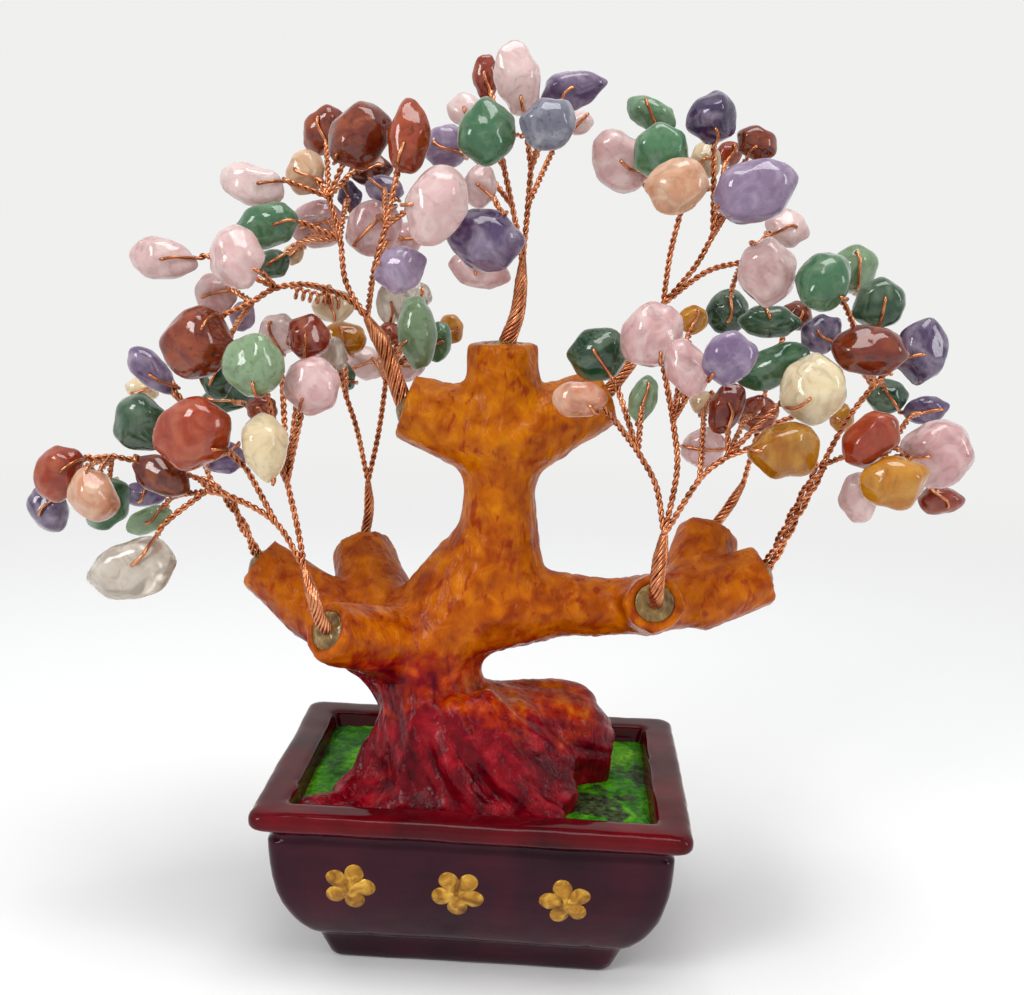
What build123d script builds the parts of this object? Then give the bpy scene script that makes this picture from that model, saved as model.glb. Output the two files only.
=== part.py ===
from build123d import *
from math import cos, radians, sin
import os

os.makedirs("parts", exist_ok=True)

# A gemstone tree in a small planter. The origin is under the middle of the planter's foot,
# +Z up, with the front of the planter towards -Y. All lengths are in millimetres.

# Planter: outer sizes, wall and rim
planter_width = 84.0
planter_depth = 60.0
planter_height = 36.5
planter_corner = 2.6
rim_border = 6.5
rim_band = 3.8
rim_round = 1.1
cavity_corner = 1.6
corner_steps = 3
body_inset = 3.1
belly_sweep = 6.4
belly_height = 24.5
foot_top_inset = 10.8
foot_bottom_inset = 13.2
foot_height = 7.0
foot_edge = 0.8
foot_groove = 0.5
planter_floor = 5.0
cavity_taper = 7.0

# Planting bed: how far it lies below the rim
bed_drop = 3.4

# Wires and stones
wire_thickness = 0.62
pair_thickness = 1.25
bore_of_socket = 7.4
depth_of_socket = 6.0
socket_sides = 16
glue_dome = 1.2
thin_bundle = 2.2
bundle = 3.0
thick_bundle = 3.8
overrun = 2.0

# Crown: how far the stones reach in front of and behind the trunk
crown_reach = 40.0

# Trunk: the units of its limbs' depth and girth
limb_reach = 20.0
limb_girth = 10.0

# The viewpoint from which places are read: a point on the object is given by its pixel
# across and down in a picture 1024 wide and 995 high, and by its depth back from the origin.
# The middle of the planting bed lies at the bed pixels, this far in front of the viewpoint.
view_distance = 260.4
view_turn = -2.4
view_tilt = 12.0
view_roll = 2.11
view_pixels = 1250
middle_across_pixels = 512
middle_down_pixels = 497.5
bed_across_pixels = 480.4
bed_down_pixels = 776.1

ahead = Vector(0, 1, 0).rotate(Axis.X, -view_tilt).rotate(Axis.Z, -view_turn)
level = Vector(1, 0, 0).rotate(Axis.Z, -view_turn)
view_right = level.rotate(Axis((0, 0, 0), tuple(ahead)), -view_roll)
view_up = view_right.cross(ahead)


bed_level = planter_height - bed_drop


def sight(across, down):
    """The line of sight through this pixel, one unit long along the view."""
    right = (across - middle_across_pixels) / view_pixels
    up = (middle_down_pixels - down) / view_pixels
    return ahead + view_right * right + view_up * up


view_from = Vector(0, 0, bed_level) - sight(bed_across_pixels, bed_down_pixels) * view_distance


def place(across, down, back):
    """The point seen at this pixel that lies this far back."""
    ray = sight(across, down)
    return view_from + ray * ((back - view_from.Y) / ray.Y)


def faceted(rings, flat_sides=True):
    """A closed solid through rings of points. Sides between rings of one outline are flat."""
    faces = [Face(Wire.make_polygon(rings[0])), Face(Wire.make_polygon(rings[-1]))]
    for lower, upper in zip(rings, rings[1:]):
        for index in range(len(lower)):
            corners = [lower[index - 1], lower[index], upper[index], upper[index - 1]]
            halves = [corners] if flat_sides else [corners[:3], corners[2:] + corners[:1]]
            faces.extend(Face(Wire.make_polygon(half)) for half in halves)
    return Solid(Shell(faces))


def tray_ring(height, inset, corner):
    """The planter's outline at this height, this far in from the rim's edge."""
    half_width = planter_width / 2 - inset - corner
    half_depth = planter_depth / 2 - inset - corner
    points = []
    for quarter, (across, along) in enumerate(((1, 1), (-1, 1), (-1, -1), (1, -1))):
        for step in range(corner_steps + 1):
            turn = radians(90 * (quarter + step / corner_steps))
            x = across * half_width + corner * cos(turn)
            y = along * half_depth + corner * sin(turn)
            points.append(Vector(x, y, height))
    return points


def cavity():
    """The planter's tapered hollow, which the planting bed fills."""
    floor = tray_ring(planter_floor, rim_border + cavity_taper, cavity_corner)
    mouth = tray_ring(planter_height, rim_border, cavity_corner)
    return faceted([floor, mouth])


# Belly: how high and how far in its outline lies, as shares of its height and its sweep
belly_shares = ((0.12, 0.8), (0.32, 0.46), (0.62, 0.16), (0.97, 0.01))

# Planter: a glazed tray with a banded rim, a bellied body and a recessed foot
heights_and_insets = [
    (0, foot_bottom_inset + foot_edge),
    (foot_edge, foot_bottom_inset),
    (foot_height, foot_top_inset),
    (foot_height + foot_groove, body_inset + belly_sweep),
    *[
        (
            foot_height + foot_groove + (belly_height - foot_height) * rise_share,
            body_inset + belly_sweep * sweep_share,
        )
        for rise_share, sweep_share in belly_shares
    ],
    (planter_height - rim_band - rim_round, body_inset),
    (planter_height - rim_band, rim_round),
    (planter_height - rim_band + rim_round, 0),
    (planter_height - rim_round, 0),
    (planter_height, rim_round),
]
with BuildPart() as planter:
    add(faceted([tray_ring(height, inset, planter_corner) for height, inset in heights_and_insets]))
    add(cavity(), mode=Mode.SUBTRACT)
planter.part.label = "planter"
export_step(planter.part, "parts/planter.step")

# Trunk: stations give the centre and the half width of one limb after another
bark_shares = (1.0, 0.95, 1.05, 0.97, 1.02, 0.93, 1.04, 0.96)
root_bark_shares = (1.0, 0.9, 1.0, 0.94, 1.04, 0.92)


def ring(plane, half_width, half_depth, shares):
    """An uneven ring of points, one share of the half size for each corner."""
    step = 360 / len(shares)
    return [
        plane.from_local_coords(
            (
                half_width * share * cos(radians(step * index)),
                half_depth * share * sin(radians(step * index)),
                0,
            )
        )
        for index, share in enumerate(shares)
    ]


def limb(stations, shares=bark_shares):
    """A limb through its stations, its rings all facing from the first to the last."""
    centres = [place(across, down, back * limb_reach) for across, down, back, girth in stations]
    direction = centres[-1] - centres[0]
    rings = []
    for centre, (across, down, back, girth) in zip(centres, stations):
        radius = girth * limb_girth
        rings.append(ring(Plane(origin=centre, z_dir=direction), radius, radius, shares))
    return faceted(rings)


def stump(rows):
    """The upright trunk: each row has its pixel row, left and right edges, depth and girth."""
    rings = []
    for down, left, right, back, girth in rows:
        left_edge = place(left, down, back * limb_reach)
        right_edge = place(right, down, back * limb_reach)
        centre = (left_edge + right_edge) * 0.5
        half_width = (right_edge - left_edge).length / 2
        rings.append(ring(Plane(centre), half_width, girth * limb_girth, bark_shares))
    return faceted(rings, flat_sides=False)


trunk_shares = [
    (835, 338, 566, -0.2, 1.72),
    (800, 346, 556, -0.18, 1.6),
    (760, 364, 540, -0.14, 1.42),
    (725, 370, 508, -0.1, 1.3),
    (690, 354, 480, -0.08, 1.24),
    (660, 352, 482, -0.08, 1.2),
    (635, 374, 494, -0.04, 1.14),
    (600, 392, 524, 0, 1.05),
    (565, 421, 546, 0, 0.94),
    (530, 455, 542, 0, 0.82),
    (490, 464, 537, 0, 0.76),
    (460, 459, 545, 0, 0.76),
    (425, 454, 550, 0, 0.78),
    (385, 465, 542, 0, 0.72),
    (343, 470, 537, 0.05, 0.68),
]

# Cut branches: the place, depth and girth of each one's root, then of its socket's mouth
stub_shares = {
    "upper_left": ((500, 440, 0, 0.95), (404, 406, -0.05, 0.66)),
    "top": ((503, 430, 0, 0.74), (503, 343, 0.05, 0.68)),
    "upper_right": ((505, 440, 0, 0.95), (606, 396, 0.25, 0.6)),
    "left_front": ((420, 655, 0, 1.0), (325, 630, -1.05, 0.57)),
    "left_end": ((385, 660, 0, 1.0), (258, 562, 0.15, 0.59)),
    "left_back": ((385, 630, 0.1, 0.92), (361, 543, 0.75, 0.62)),
    "right_front": ((646, 606, 0.1, 0.66), (655, 603, -0.65, 0.6)),
    "right_back": ((690, 598, 0.15, 0.72), (709, 531, 0.65, 0.64)),
    "right_end": ((690, 602, 0, 0.72), (764, 574, 0.15, 0.65)),
}

arm_shares = [
    (478, 606, 0, 1.06),
    (520, 604, 0, 0.9),
    (560, 604, 0, 0.7),
    (610, 607, 0, 0.61),
    (655, 603, 0, 0.63),
    (712, 592, 0.05, 0.72),
]
knob_shares = [
    (468, 738, 0, 1.3),
    (505, 738, 0.15, 1.26),
    (545, 735, 0.22, 1.2),
    (580, 735, 0.28, 1.08),
    (606, 757, 0.3, 0.72),
]
root_shares = [
    [(400, 700, -0.45, 0.66), (366, 780, -0.5, 0.7), (336, 812, -0.8, 0.36)],
    [(290, 806, -1.0, 0.3), (350, 809, -0.98, 0.38), (450, 813, -0.98, 0.4), (566, 821, -0.98, 0.3)],
    [(420, 700, -0.5, 0.66), (404, 780, -0.72, 0.72), (388, 826, -0.9, 0.4)],
    [(450, 700, -0.5, 0.66), (458, 780, -0.76, 0.74), (474, 828, -0.9, 0.4)],
    [(470, 700, -0.42, 0.66), (512, 775, -0.7, 0.76), (538, 826, -0.88, 0.4)],
    [(500, 715, -0.25, 0.62), (545, 770, -0.5, 0.72), (570, 804, -0.7, 0.4)],
    [(420, 700, 0.3, 0.6), (396, 760, 0.6, 0.6), (376, 786, 0.78, 0.34)],
    [(470, 700, 0.4, 0.6), (500, 750, 0.7, 0.6), (530, 776, 0.84, 0.34)],
]


def socket_plane(name):
    """The plane of a cut branch's end, facing out of the branch."""
    start, end = stub_shares[name]
    foot = place(start[0], start[1], start[2] * limb_reach)
    mouth = place(end[0], end[1], end[2] * limb_reach)
    return Plane(origin=mouth, z_dir=mouth - foot)


with BuildPart() as trunk:
    add([stump(trunk_shares), limb(arm_shares), limb(knob_shares)])
    add([limb([start, end]) for start, end in stub_shares.values()])
    add([limb(stations, root_bark_shares) for stations in root_shares])
    split(bisect_by=Plane.XY.offset(bed_level), keep=Keep.TOP)
    add(planter.part, mode=Mode.SUBTRACT)
    for name in stub_shares:
        with BuildSketch(socket_plane(name).offset(-depth_of_socket)):
            RegularPolygon(bore_of_socket / 2, socket_sides)
    extrude(amount=depth_of_socket + overrun, mode=Mode.SUBTRACT)
trunk.part.label = "trunk"
export_step(trunk.part, "parts/trunk.step")

# Wires: every stem runs from its socket or from another stem, and thins towards its twigs.
# Each stem has its pixel places with a depth share, its two thicknesses, and its stones.
# A stone has its kind, pixel place, depth share, pixel width and height, turn in degrees,
# outline, and the place along the stem where its twig leaves.
rose = "rose_quartz"
green = "green_aventurine"
violet = "amethyst"
red = "red_jasper"
orange = "carnelian"
yellow = "yellow_jasper"
cream = "moonstone"
clear = "rock_crystal"
grey = "grey_agate"

crown_shares = {
    "upper_left": [
        (
            [(418, 416, -0.03), (404, 402, -0.03), (385, 350, -0.05), (367, 318, -0.08)],
            (thick_bundle, bundle),
            [],
        ),
        (
            [(367, 318, -0.08), (345, 297, -0.12), (310, 285, -0.17), (276, 288, -0.2), (252, 302, -0.22)],
            (thin_bundle, pair_thickness),
            [
                (rose, 163, 259, -0.2, 63, 54, -10, "drop", 3),
                (rose, 236, 258, -0.45, 54, 76, -15, "oval", 3),
                (rose, 216, 294, 0.02, 42, 46, 0, "block", 4),
                (violet, 243, 317, 0.15, 26, 34, 10, "oval", 4),
                (red, 197, 343, -0.38, 70, 86, -15, "oval", 4),
                (cream, 333, 306, 0.1, 36, 52, -90, "drop", 2),
                (green, 218, 376, 0.02, 36, 56, 20, "oval", 4),
            ],
        ),
        (
            [(367, 318, -0.08), (346, 282, 0), (340, 238, 0.05), (329, 197, 0.08)],
            (thin_bundle, pair_thickness),
            [
                (rose, 252, 185, 0.05, 68, 42, -8, "oval", 3),
                (green, 267, 226, -0.12, 66, 42, -8, "block", 2),
                (cream, 306, 173, 0.2, 40, 46, 0, "block", 3),
                (rose, 319, 225, 0.4, 48, 54, -20, "block", 2),
                (green, 271, 264, 0.2, 38, 34, 200, "drop", 2),
                (cream, 293, 254, 0.42, 22, 22, 0, "oval", 2),
                (red, 325, 130, 0.35, 40, 58, -25, "oval", 3),
                (red, 361, 137, -0.08, 62, 78, 0, "oval", 3),
                (red, 371, 170, 0.38, 44, 36, 0, "oval", 3),
                (violet, 350, 197, 0.42, 24, 34, 0, "oval", 2),
            ],
        ),
        (
            [(367, 318, -0.08), (374, 270, -0.25), (386, 226, -0.3)],
            (thin_bundle, pair_thickness),
            [
                (red, 409, 138, -0.25, 42, 92, 12, "oval", 2),
                (violet, 384, 189, 0.12, 38, 30, 0, "oval", 2),
                (rose, 374, 228, 0.1, 58, 58, 0, "oval", 2),
                (rose, 404, 240, 0.4, 40, 36, 0, "oval", 1),
                (violet, 400, 270, -0.4, 44, 52, -20, "block", 1),
                (rose, 437, 206, -0.55, 62, 94, -12, "oval", 2),
            ],
        ),
    ],
    "top": [
        (
            [(503, 366, 0.03), (507, 343, 0.03), (518, 310, 0.03), (523, 258, 0.03)],
            (thick_bundle, thin_bundle),
            [],
        ),
        (
            [(523, 258, 0.03), (528, 205, 0), (531, 168, 0)],
            (thin_bundle, pair_thickness),
            [
                (rose, 517, 78, -0.12, 46, 84, -6, "oval", 2),
                (grey, 549, 124, -0.42, 55, 53, 0, "block", 2),
                (violet, 572, 91, 0.15, 66, 46, 40, "drop", 2),
                (rose, 580, 123, 0.48, 28, 26, 0, "oval", 1),
            ],
        ),
        (
            [(523, 258, 0.03), (512, 205, 0.08), (504, 168, 0.08)],
            (thin_bundle, pair_thickness),
            [
                (green, 487, 133, -0.35, 64, 62, 15, "block", 2),
                (orange, 486, 77, 0.25, 26, 50, 15, "oval", 2),
                (rose, 466, 110, 0.12, 38, 34, 0, "oval", 2),
                (violet, 446, 147, 0.38, 46, 50, 0, "oval", 1),
            ],
        ),
        (
            [(523, 262, 0.03), (510, 228, -0.08)],
            (pair_thickness, pair_thickness),
            [
                (rose, 480, 186, 0.0, 34, 54, -15, "oval", 1),
                (violet, 486, 241, -0.38, 74, 66, -35, "block", 1),
                (rose, 479, 270, 0.12, 62, 38, -8, "oval", 1),
            ],
        ),
    ],
    "upper_right": [
        (
            [(592, 408, 0.08), (608, 392, 0.15), (640, 350, 0.25), (663, 304, 0.27)],
            (bundle, thin_bundle),
            [],
        ),
        (
            [(663, 304, 0.27), (670, 255, 0.2), (680, 214, 0.12)],
            (thin_bundle, pair_thickness),
            [
                (rose, 620, 162, 0.2, 50, 74, 15, "oval", 2),
                (green, 650, 114, 0.52, 56, 38, 145, "drop", 2),
                (green, 661, 152, -0.05, 58, 62, 0, "oval", 2),
                (cream, 677, 186, -0.38, 62, 54, 0, "block", 2),
                (cream, 706, 160, 0.2, 30, 40, 0, "oval", 2),
            ],
        ),
        (
            [(663, 304, 0.27), (694, 268, 0.2), (713, 235, 0.12)],
            (thin_bundle, pair_thickness),
            [
                (violet, 713, 117, 0.0, 52, 62, 90, "drop", 2),
                (red, 757, 143, 0.1, 44, 36, -10, "oval", 2),
                (red, 729, 154, 0.48, 28, 26, 0, "oval", 2),
                (violet, 755, 191, -0.35, 86, 66, 5, "oval", 2),
            ],
        ),
        (
            [(663, 304, 0.27), (706, 272, 0.27), (742, 262, 0.2)],
            (thin_bundle, pair_thickness),
            [
                (rose, 787, 229, 0.35, 44, 42, 0, "oval", 2),
                (rose, 768, 272, -0.15, 60, 66, 40, "block", 2),
                (green, 769, 322, 0.12, 62, 38, -20, "oval", 2),
                (green, 727, 312, 0.5, 42, 44, 0, "block", 2),
            ],
        ),
    ],
    "left_front": [
        (
            [(336, 633, -0.45), (323, 624, -0.56), (314, 600, -0.62), (305, 570, -0.55)],
            (bundle, thin_bundle),
            [],
        ),
        (
            [(305, 570, -0.55), (276, 523, -0.5), (232, 497, -0.48), (206, 491, -0.46)],
            (thin_bundle, pair_thickness),
            [
                (green, 150, 520, -0.25, 56, 24, 50, "block", 3),
                (clear, 134, 569, -0.6, 88, 60, 12, "block", 3),
            ],
        ),
        (
            [(276, 523, -0.5), (250, 475, -0.46), (240, 462, -0.45)],
            (pair_thickness, pair_thickness),
            [
                (orange, 192, 433, -0.62, 82, 66, 0, "block", 2),
                (violet, 222, 457, -0.18, 46, 38, 0, "oval", 2),
            ],
        ),
        (
            [(305, 570, -0.55), (297, 525, -0.47), (287, 482, -0.42)],
            (thin_bundle, pair_thickness),
            [
                (cream, 265, 447, -0.68, 66, 54, -60, "drop", 2),
                (green, 254, 364, -0.62, 60, 66, 0, "block", 2),
                (rose, 312, 385, -0.52, 58, 64, 0, "oval", 2),
                (orange, 262, 409, -0.2, 32, 28, 0, "block", 2),
                (orange, 309, 337, -0.22, 44, 44, 30, "block", 2),
                (green, 228, 398, 0.3, 62, 30, 0, "oval", 2),
                (rose, 279, 334, 0.0, 42, 46, 0, "oval", 2),
            ],
        ),
    ],
    "left_end": [
        (
            [(270, 572, 0.07), (258, 556, 0.06), (228, 499, -0.03), (200, 479, -0.08)],
            (thin_bundle, thin_bundle),
            [],
        ),
        (
            [(200, 479, -0.08), (160, 466, -0.15), (112, 456, -0.2)],
            (pair_thickness, pair_thickness),
            [
                (orange, 59, 474, -0.32, 50, 60, 0, "block", 2),
                (violet, 49, 509, 0.05, 50, 46, -60, "drop", 2),
                (cream, 93, 495, -0.5, 48, 56, 20, "block", 2),
                (green, 108, 504, -0.08, 44, 62, -20, "oval", 2),
                (red, 162, 476, -0.45, 62, 40, -5, "oval", 1),
                (violet, 145, 494, 0.18, 46, 28, 0, "oval", 1),
            ],
        ),
        (
            [(214, 488, -0.05), (198, 445, 0.08), (186, 405, 0.12)],
            (pair_thickness, pair_thickness),
            [
                (green, 140, 423, -0.15, 54, 66, 0, "oval", 1),
                (violet, 152, 371, 0.12, 62, 34, -35, "drop", 2),
                (cream, 142, 390, 0.5, 34, 26, 0, "oval", 2),
            ],
        ),
    ],
    "left_back": [
        (
            [(362, 556, 0.33), (365, 535, 0.42), (369, 510, 0.42), (368, 482, 0.4)],
            (thin_bundle, thin_bundle),
            [],
        ),
        (
            [(368, 482, 0.4), (357, 430, 0.38), (346, 396, 0.36)],
            (pair_thickness, pair_thickness),
            [
                (clear, 333, 356, 0.22, 34, 36, 60, "drop", 2),
                (green, 346, 377, 0.55, 20, 28, 0, "block", 2),
                (yellow, 345, 338, 0.62, 46, 34, 0, "block", 2),
            ],
        ),
        (
            [(368, 482, 0.4), (379, 430, 0.42), (386, 380, 0.42)],
            (pair_thickness, pair_thickness),
            [
                (rose, 366, 363, 0.85, 42, 36, -25, "oval", 2),
                (rose, 402, 366, 0.7, 44, 38, -20, "oval", 2),
                (green, 417, 332, 0.25, 40, 84, 10, "oval", 2),
                (green, 438, 342, 0.6, 28, 52, 10, "oval", 2),
                (yellow, 451, 329, 0.85, 26, 30, 10, "block", 2),
                (clear, 393, 303, 0.5, 34, 50, -15, "oval", 2),
                (clear, 419, 297, 0.8, 26, 32, 0, "oval", 2),
                (orange, 390, 334, 0.42, 27, 26, 0, "block", 2),
            ],
        ),
    ],
    "right_front": [
        (
            [(654, 610, -0.2), (656, 596, -0.38), (658, 575, -0.4), (664, 535, -0.38)],
            (bundle, bundle),
            [],
        ),
        (
            [(664, 535, -0.38), (656, 486, -0.38), (638, 452, -0.4)],
            (thin_bundle, pair_thickness),
            [
                (green, 598, 355, -0.2, 58, 58, -15, "block", 2),
                (cream, 580, 399, -0.62, 54, 38, -15, "block", 2),
                (green, 643, 399, -0.12, 30, 52, 0, "oval", 2),
            ],
        ),
        (
            [(664, 535, -0.38), (677, 470, -0.38), (673, 420, -0.38)],
            (thin_bundle, pair_thickness),
            [
                (rose, 653, 335, -0.48, 64, 74, -8, "block", 2),
                (rose, 687, 368, -0.72, 41, 68, 8, "oval", 2),
                (violet, 730, 358, -0.9, 57, 50, 20, "block", 2),
                (yellow, 693, 320, -0.05, 30, 32, 0, "oval", 2),
            ],
        ),
        (
            [(664, 535, -0.38), (700, 479, -0.38), (728, 456, -0.38)],
            (thin_bundle, pair_thickness),
            [
                (yellow, 787, 451, -0.6, 72, 56, 5, "block", 2),
                (rose, 704, 447, -0.02, 46, 48, 0, "oval", 1),
                (cream, 705, 403, 0.1, 30, 28, 0, "oval", 1),
                (orange, 727, 408, -0.3, 36, 54, 0, "block", 2),
                (orange, 757, 414, 0.05, 44, 42, 0, "oval", 2),
                (cream, 814, 389, -0.45, 74, 66, 20, "block", 2),
            ],
        ),
    ],
    "right_back": [
        (
            [(706, 548, 0.26), (712, 530, 0.4), (728, 508, 0.42), (743, 484, 0.4)],
            (thin_bundle, thin_bundle),
            [],
        ),
        (
            [(743, 484, 0.4), (758, 430, 0.4), (766, 385, 0.32)],
            (pair_thickness, pair_thickness),
            [
                (green, 773, 367, -0.25, 80, 42, 50, "oval", 2),
                (red, 796, 316, 0.5, 32, 32, 0, "block", 2),
                (yellow, 842, 418, 0.4, 26, 28, 0, "block", 1),
            ],
        ),
    ],
    "right_end": [
        (
            [(750, 583, 0.06), (768, 565, 0.09), (800, 505, 0.05), (822, 465, 0.03)],
            (bundle, bundle),
            [],
        ),
        (
            [(822, 465, 0.03), (847, 420, 0), (873, 386, -0.02)],
            (thin_bundle, pair_thickness),
            [
                (green, 887, 396, 0.3, 40, 42, 0, "oval", 2),
                (red, 871, 351, -0.3, 76, 52, 10, "block", 2),
                (violet, 922, 351, 0.02, 54, 60, 20, "block", 2),
                (green, 879, 304, 0.1, 54, 56, 0, "oval", 2),
                (green, 823, 282, -0.38, 55, 68, -10, "block", 2),
                (green, 853, 270, 0.4, 48, 56, 0, "oval", 2),
                (violet, 822, 334, 0.15, 46, 44, 30, "drop", 2),
            ],
        ),
        (
            [(822, 465, 0.03), (850, 456, -0.1), (882, 462, -0.15)],
            (thin_bundle, pair_thickness),
            [
                (orange, 871, 439, -0.52, 74, 52, 25, "oval", 2),
                (yellow, 897, 483, -0.64, 68, 56, 0, "block", 2),
                (rose, 938, 453, -0.22, 70, 80, 0, "oval", 2),
                (violet, 926, 410, 0.25, 44, 30, -5, "oval", 2),
                (rose, 859, 498, -0.15, 38, 56, 0, "oval", 2),
                (orange, 940, 500, 0.2, 44, 36, 20, "drop", 2),
            ],
        ),
    ],
}

# Tumbled chips: how an outline departs from a plain oval, and how a chip swells from back
# to front, as shares of its half thickness and of its outline
outline_shares = {
    "oval": (1.04, 1.0, 0.98, 1.04, 1.0, 0.97),
    "block": (0.98, 1.14, 1.02, 1.08, 1.12, 1.0),
    "drop": (1.14, 0.84, 0.94, 1.04, 0.96, 0.8),
}
swell_shares = ((-1.0, 0.58), (0.0, 1.0), (1.0, 0.62))
thickness_share = 0.72
twig_bow_share = 0.12
twig_crest_share = 0.55
stem_sides = 6
twig_sides = 3

# Degrees: how far a chip leans, and how the lean goes round from one chip to the next
chip_lean = 22
lean_step_up = 137.5
lean_step_aside = 97.4


def strand(points, start_thickness, end_thickness, sides):
    """A straight-sided wire through these points, each ring steadied by the one before."""
    start_run = points[1] - points[0]
    side = min(Vector(1, 0, 0), Vector(0, 1, 0), key=lambda axis: abs(axis.dot(start_run)))
    last = len(points) - 1
    rings = []
    for index, point in enumerate(points):
        along = (points[min(index + 1, last)] - points[max(index - 1, 0)]).normalized()
        side = side - along * side.dot(along)
        radius = (start_thickness + (end_thickness - start_thickness) * index / last) / 2
        rings.append(ring(Plane(origin=point, x_dir=side, z_dir=along), radius, radius, [1] * sides))
    return faceted(rings, flat_sides=False)


def chip(centre, width, height, turn, shape, index):
    """One tumbled stone, leaning its own way: its outline at the back, the girth and the front."""
    lean_up = chip_lean * sin(radians(index * lean_step_up))
    lean_aside = chip_lean * cos(radians(index * lean_step_aside))
    facing = Plane(origin=centre, x_dir=(1, 0, 0), z_dir=(0, -1, 0)).rotated((lean_up, lean_aside, 0))
    thickness = thickness_share * min(width, height)
    long_way = facing.x_dir * cos(radians(turn)) + facing.y_dir * sin(radians(turn))
    upright = Plane(origin=centre, x_dir=long_way, z_dir=facing.z_dir)
    rings = []
    for depth_share, size_share in swell_shares:
        slice_plane = upright.offset(thickness / 2 * depth_share)
        rings.append(
            ring(slice_plane, width / 2 * size_share, height / 2 * size_share, outline_shares[shape])
        )
    return faceted(rings)


def pixel_size(point):
    """The length that one pixel spans at this distance from the viewpoint."""
    return (point - view_from).dot(ahead) / view_pixels


def twig_points(fork, centre):
    """A twig rises in a slight bow from its stem to the drilled stone."""
    run = centre - fork
    bow = Vector(0, 0, twig_bow_share * run.length)
    return [fork, fork + run * twig_crest_share + bow, centre]


# Planting bed: fills the tapered hollow up to its level
with BuildPart() as planting_bed:
    add(cavity())
    split(bisect_by=Plane.XY.offset(bed_level), keep=Keep.BOTTOM)
planting_bed.part.label = "planting_bed"
export_step(planting_bed.part, "parts/planting_bed.step")

branch_wires = {}
chip_number = 0
for branch, stems in crown_shares.items():
    strands = []
    chips_by_kind = {}
    for places, thicknesses, chips in stems:
        points = [place(across, down, share * crown_reach) for across, down, share in places]
        strands.append(strand(points, *thicknesses, stem_sides))
        for kind, across, down, share, width, height, turn, shape, leave in chips:
            centre = place(across, down, share * crown_reach)
            twig = twig_points(points[leave], centre)
            strands.append(strand(twig, pair_thickness, wire_thickness, twig_sides))
            chip_number += 1
            scale = pixel_size(centre)
            stone = chip(centre, width * scale, height * scale, turn, shape, chip_number)
            chips_by_kind.setdefault(kind, []).append(stone)

    with BuildPart() as wires:
        add(strands)
    wires.part.label = branch + "_wires"
    export_step(wires.part, "parts/" + branch + "_wires.step")
    branch_wires[branch] = wires.part

    for kind, stones in chips_by_kind.items():
        with BuildPart() as chips_of_kind:
            add(stones)
            add(wires.part, mode=Mode.SUBTRACT)
        name = branch + "_" + kind
        chips_of_kind.part.label = name
        export_step(chips_of_kind.part, "parts/" + name + ".step")

with BuildPart() as glue_plugs:
    for name in stub_shares:
        with BuildSketch(socket_plane(name).offset(-depth_of_socket)):
            RegularPolygon(bore_of_socket / 2, socket_sides)
    extrude(amount=depth_of_socket + glue_dome)
    for wires_part in branch_wires.values():
        add(wires_part, mode=Mode.SUBTRACT)
glue_plugs.part.label = "glue_plugs"
export_step(glue_plugs.part, "parts/glue_plugs.step")
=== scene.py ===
import math
import random

import bmesh
import bpy
import numpy as np
from mathutils import Matrix, Vector, noise
from mathutils.bvhtree import BVHTree


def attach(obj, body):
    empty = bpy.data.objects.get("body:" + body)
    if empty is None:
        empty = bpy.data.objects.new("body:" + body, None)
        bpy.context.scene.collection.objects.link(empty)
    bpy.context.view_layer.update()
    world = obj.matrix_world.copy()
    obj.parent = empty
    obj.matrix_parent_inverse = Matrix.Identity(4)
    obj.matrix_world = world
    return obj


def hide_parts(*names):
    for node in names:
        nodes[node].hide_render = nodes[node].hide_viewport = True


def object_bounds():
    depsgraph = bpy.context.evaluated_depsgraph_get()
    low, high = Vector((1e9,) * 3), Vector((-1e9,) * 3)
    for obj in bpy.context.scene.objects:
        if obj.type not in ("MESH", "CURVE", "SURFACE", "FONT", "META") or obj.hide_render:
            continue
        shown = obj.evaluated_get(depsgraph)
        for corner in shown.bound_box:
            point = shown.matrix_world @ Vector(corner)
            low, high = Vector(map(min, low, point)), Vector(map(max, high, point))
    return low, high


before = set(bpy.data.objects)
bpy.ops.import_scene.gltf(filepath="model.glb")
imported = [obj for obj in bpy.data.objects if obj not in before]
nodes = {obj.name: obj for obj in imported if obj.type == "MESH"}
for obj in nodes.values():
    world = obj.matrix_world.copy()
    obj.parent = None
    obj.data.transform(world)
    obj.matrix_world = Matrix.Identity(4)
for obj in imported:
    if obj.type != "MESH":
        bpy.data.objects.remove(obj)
cad_low, cad_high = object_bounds()
scene = bpy.context.scene
scene.view_settings.view_transform = "Standard"
mm = 0.001

# Camera. It stands in front of the tree, a little above it and turned slightly, as the photo does.
# Places on the object are given by their pixel across and down in that view and their depth back.
view_distance = 260.4 * mm
view_turn = math.radians(-2.4)
view_tilt = math.radians(12.0)
view_roll = math.radians(2.11)
view_pixels = 1250
picture_across = 1024
picture_down = 995
bed_pixels = (480.4, 776.1)
bed_level = 33.1 * mm
sensor_width = 36.0
nearest_seen = 0.01
farthest_seen = 20.0

ahead = Vector((
    math.sin(view_turn) * math.cos(view_tilt),
    math.cos(view_turn) * math.cos(view_tilt),
    -math.sin(view_tilt),
))
level = Vector((math.cos(view_turn), -math.sin(view_turn), 0))
rise = level.cross(ahead)
view_right = level * math.cos(view_roll) + rise * math.sin(view_roll)
view_up = rise * math.cos(view_roll) - level * math.sin(view_roll)


def sight(across, down):
    """The line of sight through this pixel, one unit long along the view."""
    right = (across - picture_across / 2) / view_pixels
    up = (picture_down / 2 - down) / view_pixels
    return ahead + view_right * right + view_up * up


view_from = Vector((0, 0, bed_level)) - sight(*bed_pixels) * view_distance


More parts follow.
